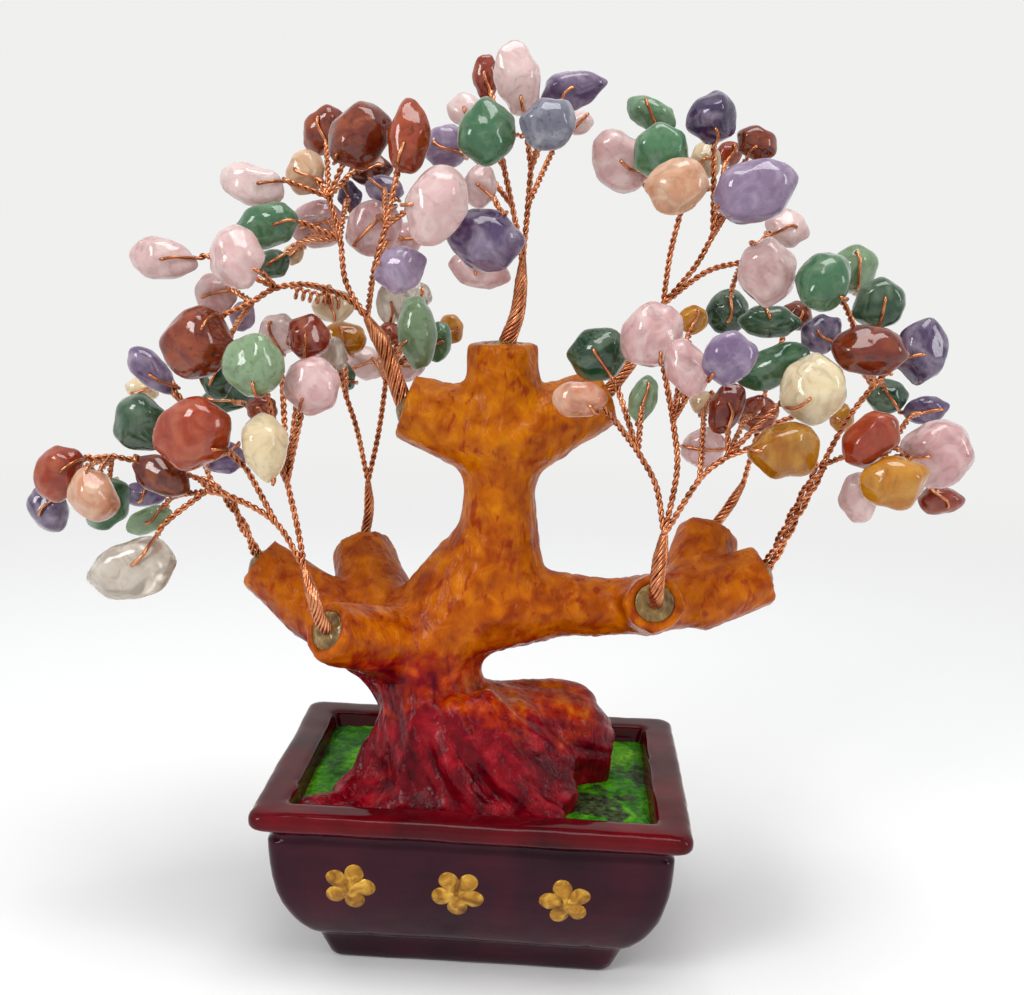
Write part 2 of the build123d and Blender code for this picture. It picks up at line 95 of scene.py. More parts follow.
def place(across, down, back):
    """The point seen at this pixel that lies this far back, in metres."""
    ray = sight(across, down)
    return view_from + ray * ((back - view_from.y) / ray.y)


camera_data = bpy.data.cameras.new("camera")
camera_data.sensor_width = sensor_width
camera_data.lens = view_pixels / picture_across * sensor_width
camera_data.clip_start = nearest_seen
camera_data.clip_end = farthest_seen
camera = bpy.data.objects.new("camera", camera_data)
scene.collection.objects.link(camera)
view_axes = Matrix((view_right, view_up, -ahead)).transposed().to_4x4()
camera.matrix_world = Matrix.Translation(view_from) @ view_axes
scene.camera = camera


# Floor and light. A white sheet under the tree runs into a white surround, lit by a large soft
# window on the left, a smaller one on the right and a broad one above.
sheet_half = 6.0
sheet_white = (0.93, 0.93, 0.925, 1)
surround_white = (0.87, 0.87, 0.862, 1)
fade_start = 160 * mm
fade_end = 600 * mm
daylight = (0.97, 0.985, 1.0, 1)
daylight_strength = 0.56
lamp_target = Vector((0, 0, 90 * mm))


def mesh_object(name, vertices, faces):
    """A new smooth-shaded object from vertices in metres and faces."""
    mesh = bpy.data.meshes.new(name)
    mesh.from_pydata([tuple(vertex) for vertex in vertices], [], faces)
    mesh.update()
    mesh.polygons.foreach_set("use_smooth", [True] * len(mesh.polygons))
    made = bpy.data.objects.new(name, mesh)
    scene.collection.objects.link(made)
    return made


def new_finish(name):
    """A new material, its node tree, its principled shader and the object's own coordinates."""
    material = bpy.data.materials.new(name)
    material.use_nodes = True
    tree = material.node_tree
    tree.nodes.clear()
    output = tree.nodes.new("ShaderNodeOutputMaterial")
    shader = tree.nodes.new("ShaderNodeBsdfPrincipled")
    tree.links.new(shader.outputs["BSDF"], output.inputs["Surface"])
    return material, tree, shader, tree.nodes.new("ShaderNodeTexCoord").outputs["Object"]


def set_sockets(node, values):
    """Sets these inputs of a node to plain values."""
    for name, value in values.items():
        node.inputs[name].default_value = value


def link_shaders(tree, factor, first, second, surface):
    """Blends two shaders by a factor into an output's surface."""
    blend = tree.nodes.new("ShaderNodeMixShader")
    for socket, source in zip(blend.inputs, (factor, first, second)):
        tree.links.new(source, socket)
    tree.links.new(blend.outputs[0], surface)


sheet_corners = [(x * sheet_half, y * sheet_half, 0) for x, y in ((-1, -1), (1, -1), (1, 1), (-1, 1))]
floor = mesh_object("floor", sheet_corners, [(0, 1, 2, 3)])
white_sheet, tree, shader, spot = new_finish("white_sheet")
set_sockets(shader, {"Base Color": sheet_white, "Roughness": 0.5, "Specular IOR Level": 0.2})
away = tree.nodes.new("ShaderNodeVectorMath")
away.operation = "LENGTH"
tree.links.new(spot, away.inputs[0])
fade = tree.nodes.new("ShaderNodeMapRange")
fade.interpolation_type = "SMOOTHSTEP"
set_sockets(fade, {"From Min": fade_start, "From Max": fade_end})
tree.links.new(away.outputs["Value"], fade.inputs["Value"])
surround = tree.nodes.new("ShaderNodeEmission")
set_sockets(surround, {"Color": surround_white})
surface = tree.get_output_node("ALL").inputs["Surface"]
link_shaders(tree, fade.outputs[0], shader.outputs[0], surround.outputs[0], surface)
floor.data.materials.append(white_sheet)

world = bpy.data.worlds.new("studio")
scene.world = world
world.use_nodes = True
tree = world.node_tree
tree.nodes.clear()
output = tree.nodes.new("ShaderNodeOutputWorld")
lit = tree.nodes.new("ShaderNodeBackground")
set_sockets(lit, {"Color": daylight, "Strength": daylight_strength})
seen = tree.nodes.new("ShaderNodeBackground")
set_sockets(seen, {"Color": surround_white, "Strength": 1.0})
rays = tree.nodes.new("ShaderNodeLightPath")
shown = rays.outputs["Is Camera Ray"]
for ray in ("Is Glossy Ray", "Is Transmission Ray"):
    either = tree.nodes.new("ShaderNodeMath")
    either.operation = "MAXIMUM"
    tree.links.new(shown, either.inputs[0])
    tree.links.new(rays.outputs[ray], either.inputs[1])
    shown = either.outputs[0]
link_shaders(tree, shown, lit.outputs[0], seen.outputs[0], output.inputs["Surface"])


def soft_window(name, location, width, height, watts):
    """A rectangular soft light aimed at the middle of the tree."""
    data = bpy.data.lights.new(name, "AREA")
    data.shape = "RECTANGLE"
    data.size = width
    data.size_y = height
    data.energy = watts
    lamp = bpy.data.objects.new(name, data)
    scene.collection.objects.link(lamp)
    lamp.location = location
    lamp.rotation_mode = "QUATERNION"
    lamp.rotation_quaternion = (lamp_target - Vector(location)).to_track_quat("-Z", "Y")


soft_window("left_window", (-0.45, -0.5, 0.5), 0.22, 0.3, 2.4)
soft_window("right_window", (0.6, -0.25, 0.35), 0.15, 0.35, 1.0)
soft_window("top_light", (0.05, -0.1, 0.7), 0.4, 0.3, 2.2)


# Planter. One moulded tray with a wide flat rim, a banded lip, a bellied body and a recessed foot,
# finished by hand in thick dark burgundy gloss, so its edges waver and carry small nicks.
planter_width = 84.0
planter_depth = 60.0
planter_height = 36.5
planter_corner = 2.6
cavity_inset = 6.8
cavity_corner = 1.6
mouth_rounding = 0.6
corner_steps = 8
long_side_steps = 44
short_side_steps = 30

# The tray's outline as heights and how far in from the rim's edge: up the outside, then down inside
outer_profile = [
    (0.0, 14.3), (0.25, 13.7), (0.9, 13.15), (2.5, 12.55), (4.6, 11.75), (6.3, 11.1), (6.9, 10.7),
    (7.4, 9.9), (8.1, 9.1), (9.0, 8.45), (10.2, 7.6), (11.7, 6.75), (13.3, 5.95), (15.8, 4.9),
    (18.4, 4.15), (21.6, 3.55), (24.5, 3.2), (27.5, 3.05), (29.3, 3.0), (29.7, 3.1), (30.0, 3.4),
    (30.5, 3.55), (31.0, 3.5), (31.5, 3.2), (32.0, 2.5), (32.4, 1.6), (32.8, 0.85), (33.2, 0.35),
    (33.8, 0.05), (34.6, 0.0), (35.3, 0.08), (35.85, 0.35), (36.2, 0.75), (36.42, 1.4), (36.5, 2.2),
]
inner_profile = [
    (36.5, 3.6), (36.5, 4.8), (36.45, 5.6), (36.25, 6.15), (35.8, 6.55), (35.1, 6.8), (33.9, 7.05),
    (32.4, 7.4),
]

# How the hand finish departs from the outline: a slow and a quick waver, overall wear and nicks
slow_waver = 0.3
slow_waver_size = 16.0
quick_waver = 0.1
quick_waver_size = 4.5
waver_seed = 7
edge_wear = 0.35
nick_depth = 1.6
nick_size = 3.1
nick_rarity = 0.42
nick_slant = 0.4

rim_paint_low = 31.0 * mm
rim_paint_high = 34.0 * mm


def dress(piece, slot, *cad_nodes):
    """The piece rides with the tree and stands for these CAD nodes. The slot it is given is not used."""
    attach(piece, "root")
    if cad_nodes:
        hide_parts(*cad_nodes)


def band(first, second, count):
    """The faces between two closed rings of this many points, which start at these numbers."""
    faces = []
    for step in range(count):
        following = (step + 1) % count
        faces.append((first + step, first + following, second + following, second + step))
    return faces


def link_noise(tree, coordinates, scale, detail=3.0, distortion=0.0, stretch=(1, 1, 1)):
    """A noise texture over the object's own coordinates, as a number."""
    mapping = tree.nodes.new("ShaderNodeMapping")
    mapping.inputs["Scale"].default_value = stretch
    tree.links.new(coordinates, mapping.inputs["Vector"])
    texture = tree.nodes.new("ShaderNodeTexNoise")
    set_sockets(texture, {"Scale": scale, "Detail": detail, "Distortion": distortion})
    tree.links.new(mapping.outputs[0], texture.inputs["Vector"])
    return texture.outputs[0]


def link_height(tree, coordinates, low, high):
    """How far up between two heights a place lies, from 0 to 1."""
    parts = tree.nodes.new("ShaderNodeSeparateXYZ")
    tree.links.new(coordinates, parts.inputs[0])
    climb = tree.nodes.new("ShaderNodeMapRange")
    set_sockets(climb, {"From Min": low, "From Max": high})
    tree.links.new(parts.outputs["Z"], climb.inputs["Value"])
    return climb.outputs[0]


def link_ramp(tree, factor, stops):
    """A colour ramp fed by a number, with these places and colours."""
    ramp = tree.nodes.new("ShaderNodeValToRGB")
    elements = ramp.color_ramp.elements
    while len(elements) > 1:
        elements.remove(elements[-1])
    for index, (position, colour) in enumerate(stops):
        element = elements[0] if index == 0 else elements.new(position)
        element.position = position
        element.color = (*colour, 1)
    tree.links.new(factor, ramp.inputs["Fac"])
    return ramp.outputs["Color"]


def link_paint(tree, factor, *stops):
    """A colour ramp of screen colours, fed by a number."""
    return link_ramp(tree, factor, [(position, rgb(*colour)) for position, colour in stops])


def link_mask(tree, factor, start, end, most=1.0):
    """A number that climbs from nothing at the start to its most at the end."""
    return link_ramp(tree, factor, [(start, (0, 0, 0)), (end, (most, most, most))])


def link_mix(tree, factor, first, second, blend="MIX"):
    """Mixes two colours by a factor, each an output or a plain value."""
    node = tree.nodes.new("ShaderNodeMix")
    node.data_type = "RGBA"
    node.blend_type = blend
    for socket, value in ((0, factor), (6, first), (7, second)):
        if isinstance(value, bpy.types.NodeSocket):
            tree.links.new(value, node.inputs[socket])
        else:
            node.inputs[socket].default_value = value
    return node.outputs[2]


def link_bump(tree, shader, height, strength, distance):
    """Raises the shader's surface by a number."""
    bump = tree.nodes.new("ShaderNodeBump")
    set_sockets(bump, {"Strength": strength, "Distance": distance})
    tree.links.new(height, bump.inputs["Height"])
    tree.links.new(bump.outputs["Normal"], shader.inputs["Normal"])


def rgb(red, green, blue):
    """A screen colour of 0 to 255 as the linear colour that a shader takes."""
    shares = [part / 255 for part in (red, green, blue)]
    return tuple(((part + 0.055) / 1.055) ** 2.4 if part > 0.04 else part / 12.92 for part in shares)


def tray_loop(height, inset, radius):
    """Points round a rounded rectangle, evenly enough to carry a wavering edge."""
    half_x = planter_width / 2 - inset - radius
    half_y = planter_depth / 2 - inset - radius
    arcs = []
    for quarter, (across, along) in enumerate(((1, 1), (-1, 1), (-1, -1), (1, -1))):
        middle = Vector((across * half_x, along * half_y, height))
        turns = [math.radians(90 * (quarter + step / corner_steps)) for step in range(corner_steps + 1)]
        arcs.append([middle + Vector((math.cos(turn), math.sin(turn), 0)) * radius for turn in turns])
    points = []
    for number, (arc, next_arc) in enumerate(zip(arcs, arcs[1:] + arcs[:1])):
        steps = long_side_steps if number % 2 == 0 else short_side_steps
        points += arc
        points += [arc[-1].lerp(next_arc[0], step / steps) for step in range(1, steps)]
    return points


def waver(point, amount, size):
    """A small smooth push that depends on the place alone."""
    return noise.noise_vector(point / size) * amount


noise.seed_set(waver_seed)
tray_rows = [(height, inset, planter_corner) for height, inset in outer_profile]
for height, inset in inner_profile:
    tray_rows.append((height, inset, cavity_corner + max(0, cavity_inset - inset) * mouth_rounding))
tray_vertices = []
for height, inset, radius in tray_rows:
    for point in tray_loop(height, inset, radius):
        inward = Vector((point.x / planter_width, point.y / planter_depth, 0)).normalized()
        push = waver(point, slow_waver, slow_waver_size) + waver(point.yzx, quick_waver, quick_waver_size)
        chip_place = Vector((point.x, point.y, point.z * nick_slant)) / nick_size
        nick = max(0.0, noise.noise(chip_place) - nick_rarity) * nick_depth
        moved = point + push - inward * (edge_wear + nick)
        moved.z = min(max(moved.z, 0.0), planter_height) if height > 0 else 0.0
        tray_vertices.append(moved * mm)
per_loop = len(tray_vertices) // len(tray_rows)
last_row = (len(tray_rows) - 1) * per_loop
tray_faces = []
for row in range(len(tray_rows) - 1):
    tray_faces += band(row * per_loop, (row + 1) * per_loop, per_loop)
tray_faces.append(tuple(reversed(range(per_loop))))
tray_faces.append(tuple(range(last_row, last_row + per_loop)))
planter = mesh_object("planter_tray", tray_vertices, tray_faces)
for flat_face in planter.data.polygons[-2:]:
    flat_face.use_smooth = False

glaze, tree, shader, spot = new_finish("burgundy_gloss")
cloud = link_noise(tree, spot, 55.0, 4.0, 0.4)
body_paint = link_paint(tree, cloud, (0.3, (38, 9, 21)), (0.55, (52, 13, 29)), (0.75, (66, 15, 32)))
rim_paint = link_paint(tree, cloud, (0.3, (62, 3, 10)), (0.55, (88, 4, 14)), (0.75, (110, 8, 20)))
coat = link_mix(tree, link_height(tree, spot, rim_paint_low, rim_paint_high), body_paint, rim_paint)
# Horizontal light and dark streaks over the glaze are painted reflection.
painted_reflection_noise = link_noise(tree, spot, 130.0, 5.0, 1.2, (0.25, 0.25, 1.6))
painted_reflection_streaks = link_ramp(tree, painted_reflection_noise, [(0.35, (0.55, 0.5, 0.55)), (0.6, (1, 1, 1))])
coat = link_mix(tree, 0.55, coat, painted_reflection_streaks, "MULTIPLY")
tree.links.new(coat, shader.inputs["Base Color"])
set_sockets(shader, {"Roughness": 0.09, "Specular IOR Level": 0.15})
link_bump(tree, shader, link_noise(tree, spot, 90.0, 2.0), 0.35, 0.6 * mm)
planter.data.materials.append(glaze)
dress(planter, "planter_glaze", "planter")


# Planting bed. The filling of the tray, raised into low mounds and painted as bright moss with
# darker patches of painted shadow, stippled with a brush.
bed_border = 7.3
bed_columns = 190
bed_rows = 118
moss_lift = 0.7
edge_sink = 1.2

# Height, breadth and noise layer of the moss's mounds, tufts and stipple
moss_relief = ((0.7, 9.0, 3.0), (0.28, 1.5, 7.0), (0.16, 0.7, 11.0))

# Dark patches of painted shadow: pixel across and down, depth back and size. Their edges are ragged and
# soft
painted_shadow_patches = ((598, 788, -11.5, 6.0), (640, 752, 4.0, 4.0))
patch_reach = 1.25
patch_raggedness = 0.9
patch_grain = 2.2
patch_fade = 2.2


def held(value, low=0.0, high=1.0):
    """The value, held between two ends."""
    return min(max(value, low), high)


def link_attribute(tree, name):
    """A number that the mesh carries at each point."""
    attribute = tree.nodes.new("ShaderNodeAttribute")
    attribute.attribute_name = name
    return attribute.outputs["Fac"]


bed_half_x = planter_width / 2 - bed_border
bed_half_y = planter_depth / 2 - bed_border
shadow_patch_middles = [(place(across, down, back * mm) / mm, size) for across, down, back, size in painted_shadow_patches]
bed_vertices = []
bed_painted_shadow = []
for row in range(bed_rows + 1):
    for column in range(bed_columns + 1):
        x = -bed_half_x + 2 * bed_half_x * column / bed_columns
        y = -bed_half_y + 2 * bed_half_y * row / bed_rows
        height = bed_level / mm + moss_lift
        for swell, breadth, layer in moss_relief:
            height += swell * noise.noise(Vector((x, y, layer)) / breadth)
        edge = min(bed_half_x - abs(x), bed_half_y - abs(y))
        height -= edge_sink * math.exp(-edge / edge_sink)
        bed_vertices.append(Vector((x, y, height)) * mm)
        ragged = 1 + patch_raggedness * noise.noise(Vector((x, y, 1.0)) / patch_grain)
        nearest = min(math.hypot(x - middle.x, y - middle.y) / size for middle, size in shadow_patch_middles)
        bed_painted_shadow.append(held((patch_reach * ragged - nearest) * patch_fade))
bed_faces = []
for row in range(bed_rows):
    for column in range(bed_columns):
        corner = row * (bed_columns + 1) + column
        bed_faces.append((corner, corner + 1, corner + bed_columns + 2, corner + bed_columns + 1))
bed = mesh_object("moss_bed", bed_vertices, bed_faces)
bed.data.attributes.new("moss_painted_shadow", "FLOAT", "POINT").data.foreach_set("value", bed_painted_shadow)

moss, tree, shader, spot = new_finish("moss_paint")
greens = ((0.3, (28, 76, 4)), (0.45, (58, 138, 4)), (0.6, (92, 180, 8)), (0.78, (140, 216, 28)))
leafy = link_paint(tree, link_noise(tree, spot, 120.0, 5.0, 0.6), *greens)
speck = link_noise(tree, spot, 900.0, 2.0)
specks = link_ramp(tree, speck, [(0.38, (0.25, 0.3, 0.2)), (0.6, (1, 1, 1))])
painted = link_mix(tree, 0.7, leafy, specks, "MULTIPLY")
# Painted shadow: a dark moss colour laid over the paint in the patches
shadowed = link_paint(tree, speck, (0.35, (22, 26, 14)), (0.65, (66, 80, 44)))
painted = link_mix(tree, link_attribute(tree, "moss_painted_shadow"), painted, shadowed)
tree.links.new(painted, shader.inputs["Base Color"])
set_sockets(shader, {"Roughness": 0.45, "Specular IOR Level": 0.1})
link_bump(tree, shader, speck, 0.6, 0.5 * mm)
bed.data.materials.append(moss)
dress(bed, "moss_paint", "planting_bed")


# Trunk. One moulded piece with a fluted root foot, a knob root, a long right arm and nine cut
# branches with round sockets, brushed ochre orange over deep red, then lacquered.
limb_reach = 20.0 * mm
fine_voxel = 0.6 * mm

# Each cut branch's root and end: pixel across and down and depth back as a share of a limb's reach
stub_shares = {
    "upper_left": ((500, 440, 0), (404, 406, -0.05)),
    "top": ((503, 430, 0), (503, 343, 0.05)),
    "upper_right": ((505, 440, 0), (606, 396, 0.25)),
    "left_front": ((420, 655, 0), (325, 630, -1.05)),
    "left_end": ((385, 660, 0), (258, 562, 0.15)),
    "left_back": ((385, 630, 0.1), (361, 543, 0.75)),
    "right_front": ((646, 606, 0.1), (655, 603, -0.65)),
    "right_back": ((690, 598, 0.15), (709, 531, 0.65)),
    "right_end": ((690, 602, 0), (764, 574, 0.15)),
}

# A cut end stays crisp: how far round, behind and before its mouth, and over what length it fades
mouth_round = 8.5 * mm
mouth_behind = 7.5 * mm
mouth_before = 4 * mm
mouth_fade = 4 * mm

# Evening of the moulded surface: twice away from the mouths, the second time on the root alone,
# and then a little all over
melt_pull = 0.5
melt_rounds_fine = 26
melt_fade = 6 * mm
even_pull = 0.4
even_rounds = 10

# Root, in millimetres: where it ends and how it leans and winds
root_middle_pixels = (440, 740)
root_top = 66.0
root_fade = 22.0
root_lean = 0.12
root_lean_from = 40.0
root_winding = 0.04

# Its flutes and creases: height of the noise, how often round and up the root, and layer
flute_form = (2.6, 3.0, 0.012, 0.0)
crease_form = (2.4, 6.0, 0.02, 4.0)
fold_spread = 0.02
fold_sink = 0.5
flute_depth = 0.95
crease_depth = 0.36

# Its toes spread at the middle and right, its waist draws in on the left, its foot sinks in the bed
toe_left = -12.0
toe_top = 42.0
toe_fade = 8.0
waist_depth = 3.2
waist_right = -13.0
waist_right_fade = 7.0
waist_top = 62.0
waist_top_fade = 10.0
waist_bottom = 35.0
waist_bottom_fade = 4.0
waist_least_share = 0.2
foot_depth = 3.0 * mm
foot_zone = 3.2 * mm

# Bark, in millimetres: lumps and grain, calmer on the root and near the mouths
lump_depth = 0.34
lump_size = 6.5
grain_depth = 0.24
grain_across = 2.0
grain_along = 5.0
grain_height = 1.6
grain_sink = 0.4
grain_seed = Vector((9, 2, 5))
root_calm = 0.6
mouth_calm = 0.45

# How much painted shade the flutes, creases and bark give the hollows, darkening their paint
root_shade = 0.2
flute_shade = 0.9
crease_shade = 0.5
bark_shade = 2.6
shade_sink = 0.25

# Paint: where the deep red gives way to ochre, in millimetres up, its painted shade below and its patches
red_top = 64.0
red_fade = 17.0
red_slope = 0.12
underside_shade_red = 0.34
high_underside_shade_red = 0.22
high_underside_from = 74.0
red_patch_seed = Vector((1, 7, 3))
red_patch_size = 8.0
red_patch_strength = 0.5
red_spot_size = 2.2
red_spot_strength = 0.28
low_ochre_height = 66.0 * mm
high_ochre_height = 106.0 * mm


def spot_on_limb(across, down, depth_share):
    """The point seen at this pixel, with its depth as a share of a limb's reach."""
    return place(across, down, depth_share * limb_reach)


def smooth_points(points, edges, weights, rounds):
    """Evens the surface by moving each point towards its neighbours' middle."""
    count = len(points)
    neighbours = np.bincount(edges.ravel(), minlength=count).astype(float)
    neighbours[neighbours == 0] = 1
    for _ in range(rounds):
        total = np.zeros_like(points)
        np.add.at(total, edges[:, 0], points[edges[:, 1]])
        np.add.at(total, edges[:, 1], points[edges[:, 0]])
        points = points + (total / neighbours[:, None] - points) * weights[:, None]
    return points


def voxel_copy(node, name, voxel):
    """A new object with the node's shape on an even grid of faces."""
    made = bpy.data.objects.new(name, node.data.copy())
    made.data.materials.clear()
    scene.collection.objects.link(made)
    remesh = made.modifiers.new("remesh", "REMESH")
    remesh.mode = "VOXEL"
    remesh.voxel_size = voxel
    graph = bpy.context.evaluated_depsgraph_get()
    even = bpy.data.meshes.new_from_object(made.evaluated_get(graph))
    made.modifiers.clear()
    made.data = even
    return made


def root_fold(form, around, up, out):
    """Folds that wind round the root, with sharp hollows."""
    height, often_round, often_up, layer = form
    spot = Vector((often_round * around, often_up * up, layer + fold_spread * out))
    return height * abs(noise.noise(spot)) - fold_sink


def bark_form(x, y, z, facing, mouth_nearness):
    """How far the bark stands out at a place in millimetres, how much painted shade it gets and how red.
    """
    from_middle = x - root_middle_x
    reach = math.hypot(y, from_middle)
    around = math.atan2(y, from_middle - (z - root_lean_from) * root_lean) + root_winding * z
    low = held((root_top - z) / root_fade)
    flute = root_fold(flute_form, around, z, reach)
    crease = root_fold(crease_form, around, z, reach)
    spot = Vector((x, y, z))
    lump = noise.noise(spot / lump_size)
    grain_spot = Vector((x / grain_across, y / grain_across, z / grain_along)) + grain_seed
    grain = grain_height * abs(noise.noise(grain_spot)) - grain_sink
    calm = (1 - mouth_calm * mouth_nearness) * (1 - root_calm * low)
    bark = calm * (lump_depth * lump + grain_depth * grain)
    toes = held((toe_top - z) / toe_fade) ** 2 if x > toe_left else 0.0
    waist = held((waist_right - x) / waist_right_fade) * held((waist_top - z) / waist_top_fade)
    waist *= waist_depth * held((z - waist_bottom) / waist_bottom_fade, waist_least_share)
    push = low * (flute_depth * flute + crease_depth * crease) + bark + toes - waist
    hollow_shade = low * (root_shade - flute_shade * flute - crease_shade * crease) - bark_shade * bark
    redness = (red_top - z - red_slope * x) / red_fade
    # Faces turned down get more of the deep red and faces turned up less: painted shade
    redness -= facing[2] * (underside_shade_red if z < high_underside_from else high_underside_shade_red)
    redness += red_patch_strength * noise.noise(spot / red_patch_size + red_patch_seed)
    redness += red_spot_strength * noise.noise(spot / red_spot_size)
    return push, hollow_shade - shade_sink, redness


mouths = {}
for name, (root, end) in stub_shares.items():
    end_point = spot_on_limb(*end)
    mouths[name] = (end_point, (end_point - spot_on_limb(*root)).normalized())
root_middle_x = place(*root_middle_pixels, 0).x / mm

voxel = fine_voxel
trunk = voxel_copy(nodes["trunk"], "painted_trunk", voxel)
mesh = trunk.data
count = len(mesh.vertices)
points = np.empty(count * 3)
mesh.vertices.foreach_get("co", points)
points = points.reshape(-1, 3)
edges = np.empty(len(mesh.edges) * 2, dtype=np.int64)
mesh.edges.foreach_get("vertices", edges)
edges = edges.reshape(-1, 2)
near_mouth = np.zeros(count)
for mouth, facing in mouths.values():
    offset = points - np.array(mouth)
    along = offset @ np.array(facing)
    aside = np.linalg.norm(offset - along[:, None] * np.array(facing), axis=1)
    close = (aside < mouth_round) & (along > -mouth_behind) & (along < mouth_before)
    nearness = np.clip((along[close] + mouth_behind) / mouth_fade, 0, 1)
    near_mouth[close] = np.maximum(near_mouth[close], nearness)
melt_rounds = int(melt_rounds_fine * (fine_voxel / voxel) ** 2)
points = smooth_points(points, edges, melt_pull * (1 - near_mouth), melt_rounds)
low_part = np.clip((root_top * mm - points[:, 2]) / melt_fade, 0, 1)
points = smooth_points(points, edges, melt_pull * low_part * (1 - near_mouth), melt_rounds)
points = smooth_points(points, edges, np.full(count, even_pull), even_rounds)
mesh.vertices.foreach_set("co", points.ravel())
mesh.update()
normals = np.empty(count * 3)
mesh.vertices.foreach_get("normal", normals)
normals = normals.reshape(-1, 3)
forms = [bark_form(*(points[index] / mm), normals[index], near_mouth[index]) for index in range(count)]
pushes, hollow_shades, redness = (np.array(column) for column in zip(*forms))
points = points + normals * (pushes[:, None] * mm)
points[:, 2] -= np.clip(1 - (points[:, 2] - bed_level) / foot_zone, 0, 1) * foot_depth
points = np.clip(points, np.array(cad_low) + 0.01 * mm, np.array(cad_high) - 0.01 * mm)
mesh.vertices.foreach_set("co", points.ravel())
mesh.attributes.new("redness", "FLOAT", "POINT").data.foreach_set("value", np.clip(redness, 0, 1))
mesh.attributes.new("hollow_shade", "FLOAT", "POINT").data.foreach_set("value", np.clip(hollow_shades, 0, 1))
mesh.polygons.foreach_set("use_smooth", [True] * len(mesh.polygons))
mesh.update()

bark, tree, shader, spot = new_finish("lacquered_bark")
tone = link_noise(tree, spot, 270.0, 5.0, 0.5)
high_ochre = link_paint(tree, tone, (0.3, (150, 64, 0)), (0.5, (182, 95, 0)), (0.72, (206, 124, 0)))
low_ochre = link_paint(tree, tone, (0.3, (134, 46, 0)), (0.5, (168, 76, 0)), (0.72, (198, 106, 0)))
warm = link_paint(tree, tone, (0.3, (116, 12, 4)), (0.55, (160, 40, 3)), (0.75, (202, 84, 18)))
deep = link_paint(tree, tone, (0.3, (66, 0, 12)), (0.52, (114, 2, 18)), (0.75, (160, 24, 36)))
rust_and_shade = link_paint(tree, tone, (0.4, (132, 34, 6)), (0.7, (158, 56, 10)))
up_trunk = link_height(tree, spot, low_ochre_height, high_ochre_height)
ochre = link_mix(tree, up_trunk, low_ochre, high_ochre)
spray = tree.nodes.new("ShaderNodeMath")
spray.operation = "MULTIPLY_ADD"
tree.links.new(link_noise(tree, spot, 800.0, 2.0), spray.inputs[0])
spray.inputs[1].default_value = 0.6
tree.links.new(link_attribute(tree, "redness"), spray.inputs[2])
first_coat = link_mask(tree, spray.outputs[0], 0.38, 0.68)
second_coat = link_mask(tree, spray.outputs[0], 0.7, 1.0)
blots = link_mask(tree, link_noise(tree, spot, 460.0, 3.0, 0.3, (1, 1, 0.5)), 0.6, 0.67, 0.8)
# Painted shade: the hollows take the rust colour on the ochre and near black on the deep red.
painted_hollow_shade = link_attribute(tree, "hollow_shade")
coat = link_mix(tree, blots, ochre, rust_and_shade)
coat = link_mix(tree, painted_hollow_shade, coat, rust_and_shade)
coat = link_mix(tree, first_coat, coat, warm)
coat = link_mix(tree, second_coat, coat, link_mix(tree, painted_hollow_shade, deep, (*rgb(34, 0, 8), 1)))
tree.links.new(coat, shader.inputs["Base Color"])
set_sockets(shader, {"Roughness": 0.18, "Specular IOR Level": 0.12})
link_bump(tree, shader, link_noise(tree, spot, 520.0, 4.0, 0.8, (1, 1, 0.45)), 0.7, 0.8 * mm)
mesh.materials.append(bark)
dress(trunk, "bark_paint", "trunk")


# Glue plugs. Clear glue was poured into each socket around the wires; it has set amber, with
# bubbles, and stands a little proud or sunk with a curved surface.
glue_radius = 3.75 * mm
glue_sink = 0.5 * mm
glue_bottom = 5.4 * mm
bubble_height = 0.28 * mm
bubble_size = 1.8 * mm
glue_rings = 12
glue_steps = 32

# How far each plug's middle rises, in millimetres
glue_rise = {
    "upper_left": 1.9, "top": 1.0, "upper_right": 1.2, "left_front": 0.7, "left_end": 1.8,
    "left_back": 1.0, "right_front": 0.5, "right_back": 1.0, "right_end": 2.0,
}


def turned(side, other, angle):
    """The direction at this angle from the side towards the other, which is square to it."""
    return side * math.cos(angle) + other * math.sin(angle)


def circle_directions(facing, count):
    """Directions all round, square to this one."""
    side = facing.orthogonal().normalized()
    other = facing.cross(side).normalized()
    return [turned(side, other, 2 * math.pi * step / count) for step in range(count)]


glue_vertices = []
glue_faces = []
for name, (mouth, facing) in mouths.items():
    base = len(glue_vertices)
    first = base + 1
    bottom = first + glue_rings * glue_steps
    height = glue_rise[name] * mm
    outwards = circle_directions(facing, glue_steps)
    glue_vertices.append(mouth + facing * (height - glue_sink))
    for ring in range(1, glue_rings + 1):
        share = ring / glue_rings
        lift = height * (1 - share ** 2.2) - glue_sink
        for outward in outwards:
            point = mouth + outward * (glue_radius * share) + facing * lift
            bubble = noise.noise(point / bubble_size) * bubble_height * (1 - share ** 4)
            glue_vertices.append(point + facing * bubble)
    glue_vertices += [mouth + outward * glue_radius - facing * glue_bottom for outward in outwards]
    glue_faces += [(base, first + step, first + (step + 1) % glue_steps) for step in range(glue_steps)]
    for ring in range(glue_rings):
        start = first + ring * glue_steps
        glue_faces += band(start + glue_steps, start, glue_steps)
    glue_faces.append(tuple(reversed(range(bottom, bottom + glue_steps))))
glue = mesh_object("socket_glue", glue_vertices, glue_faces)

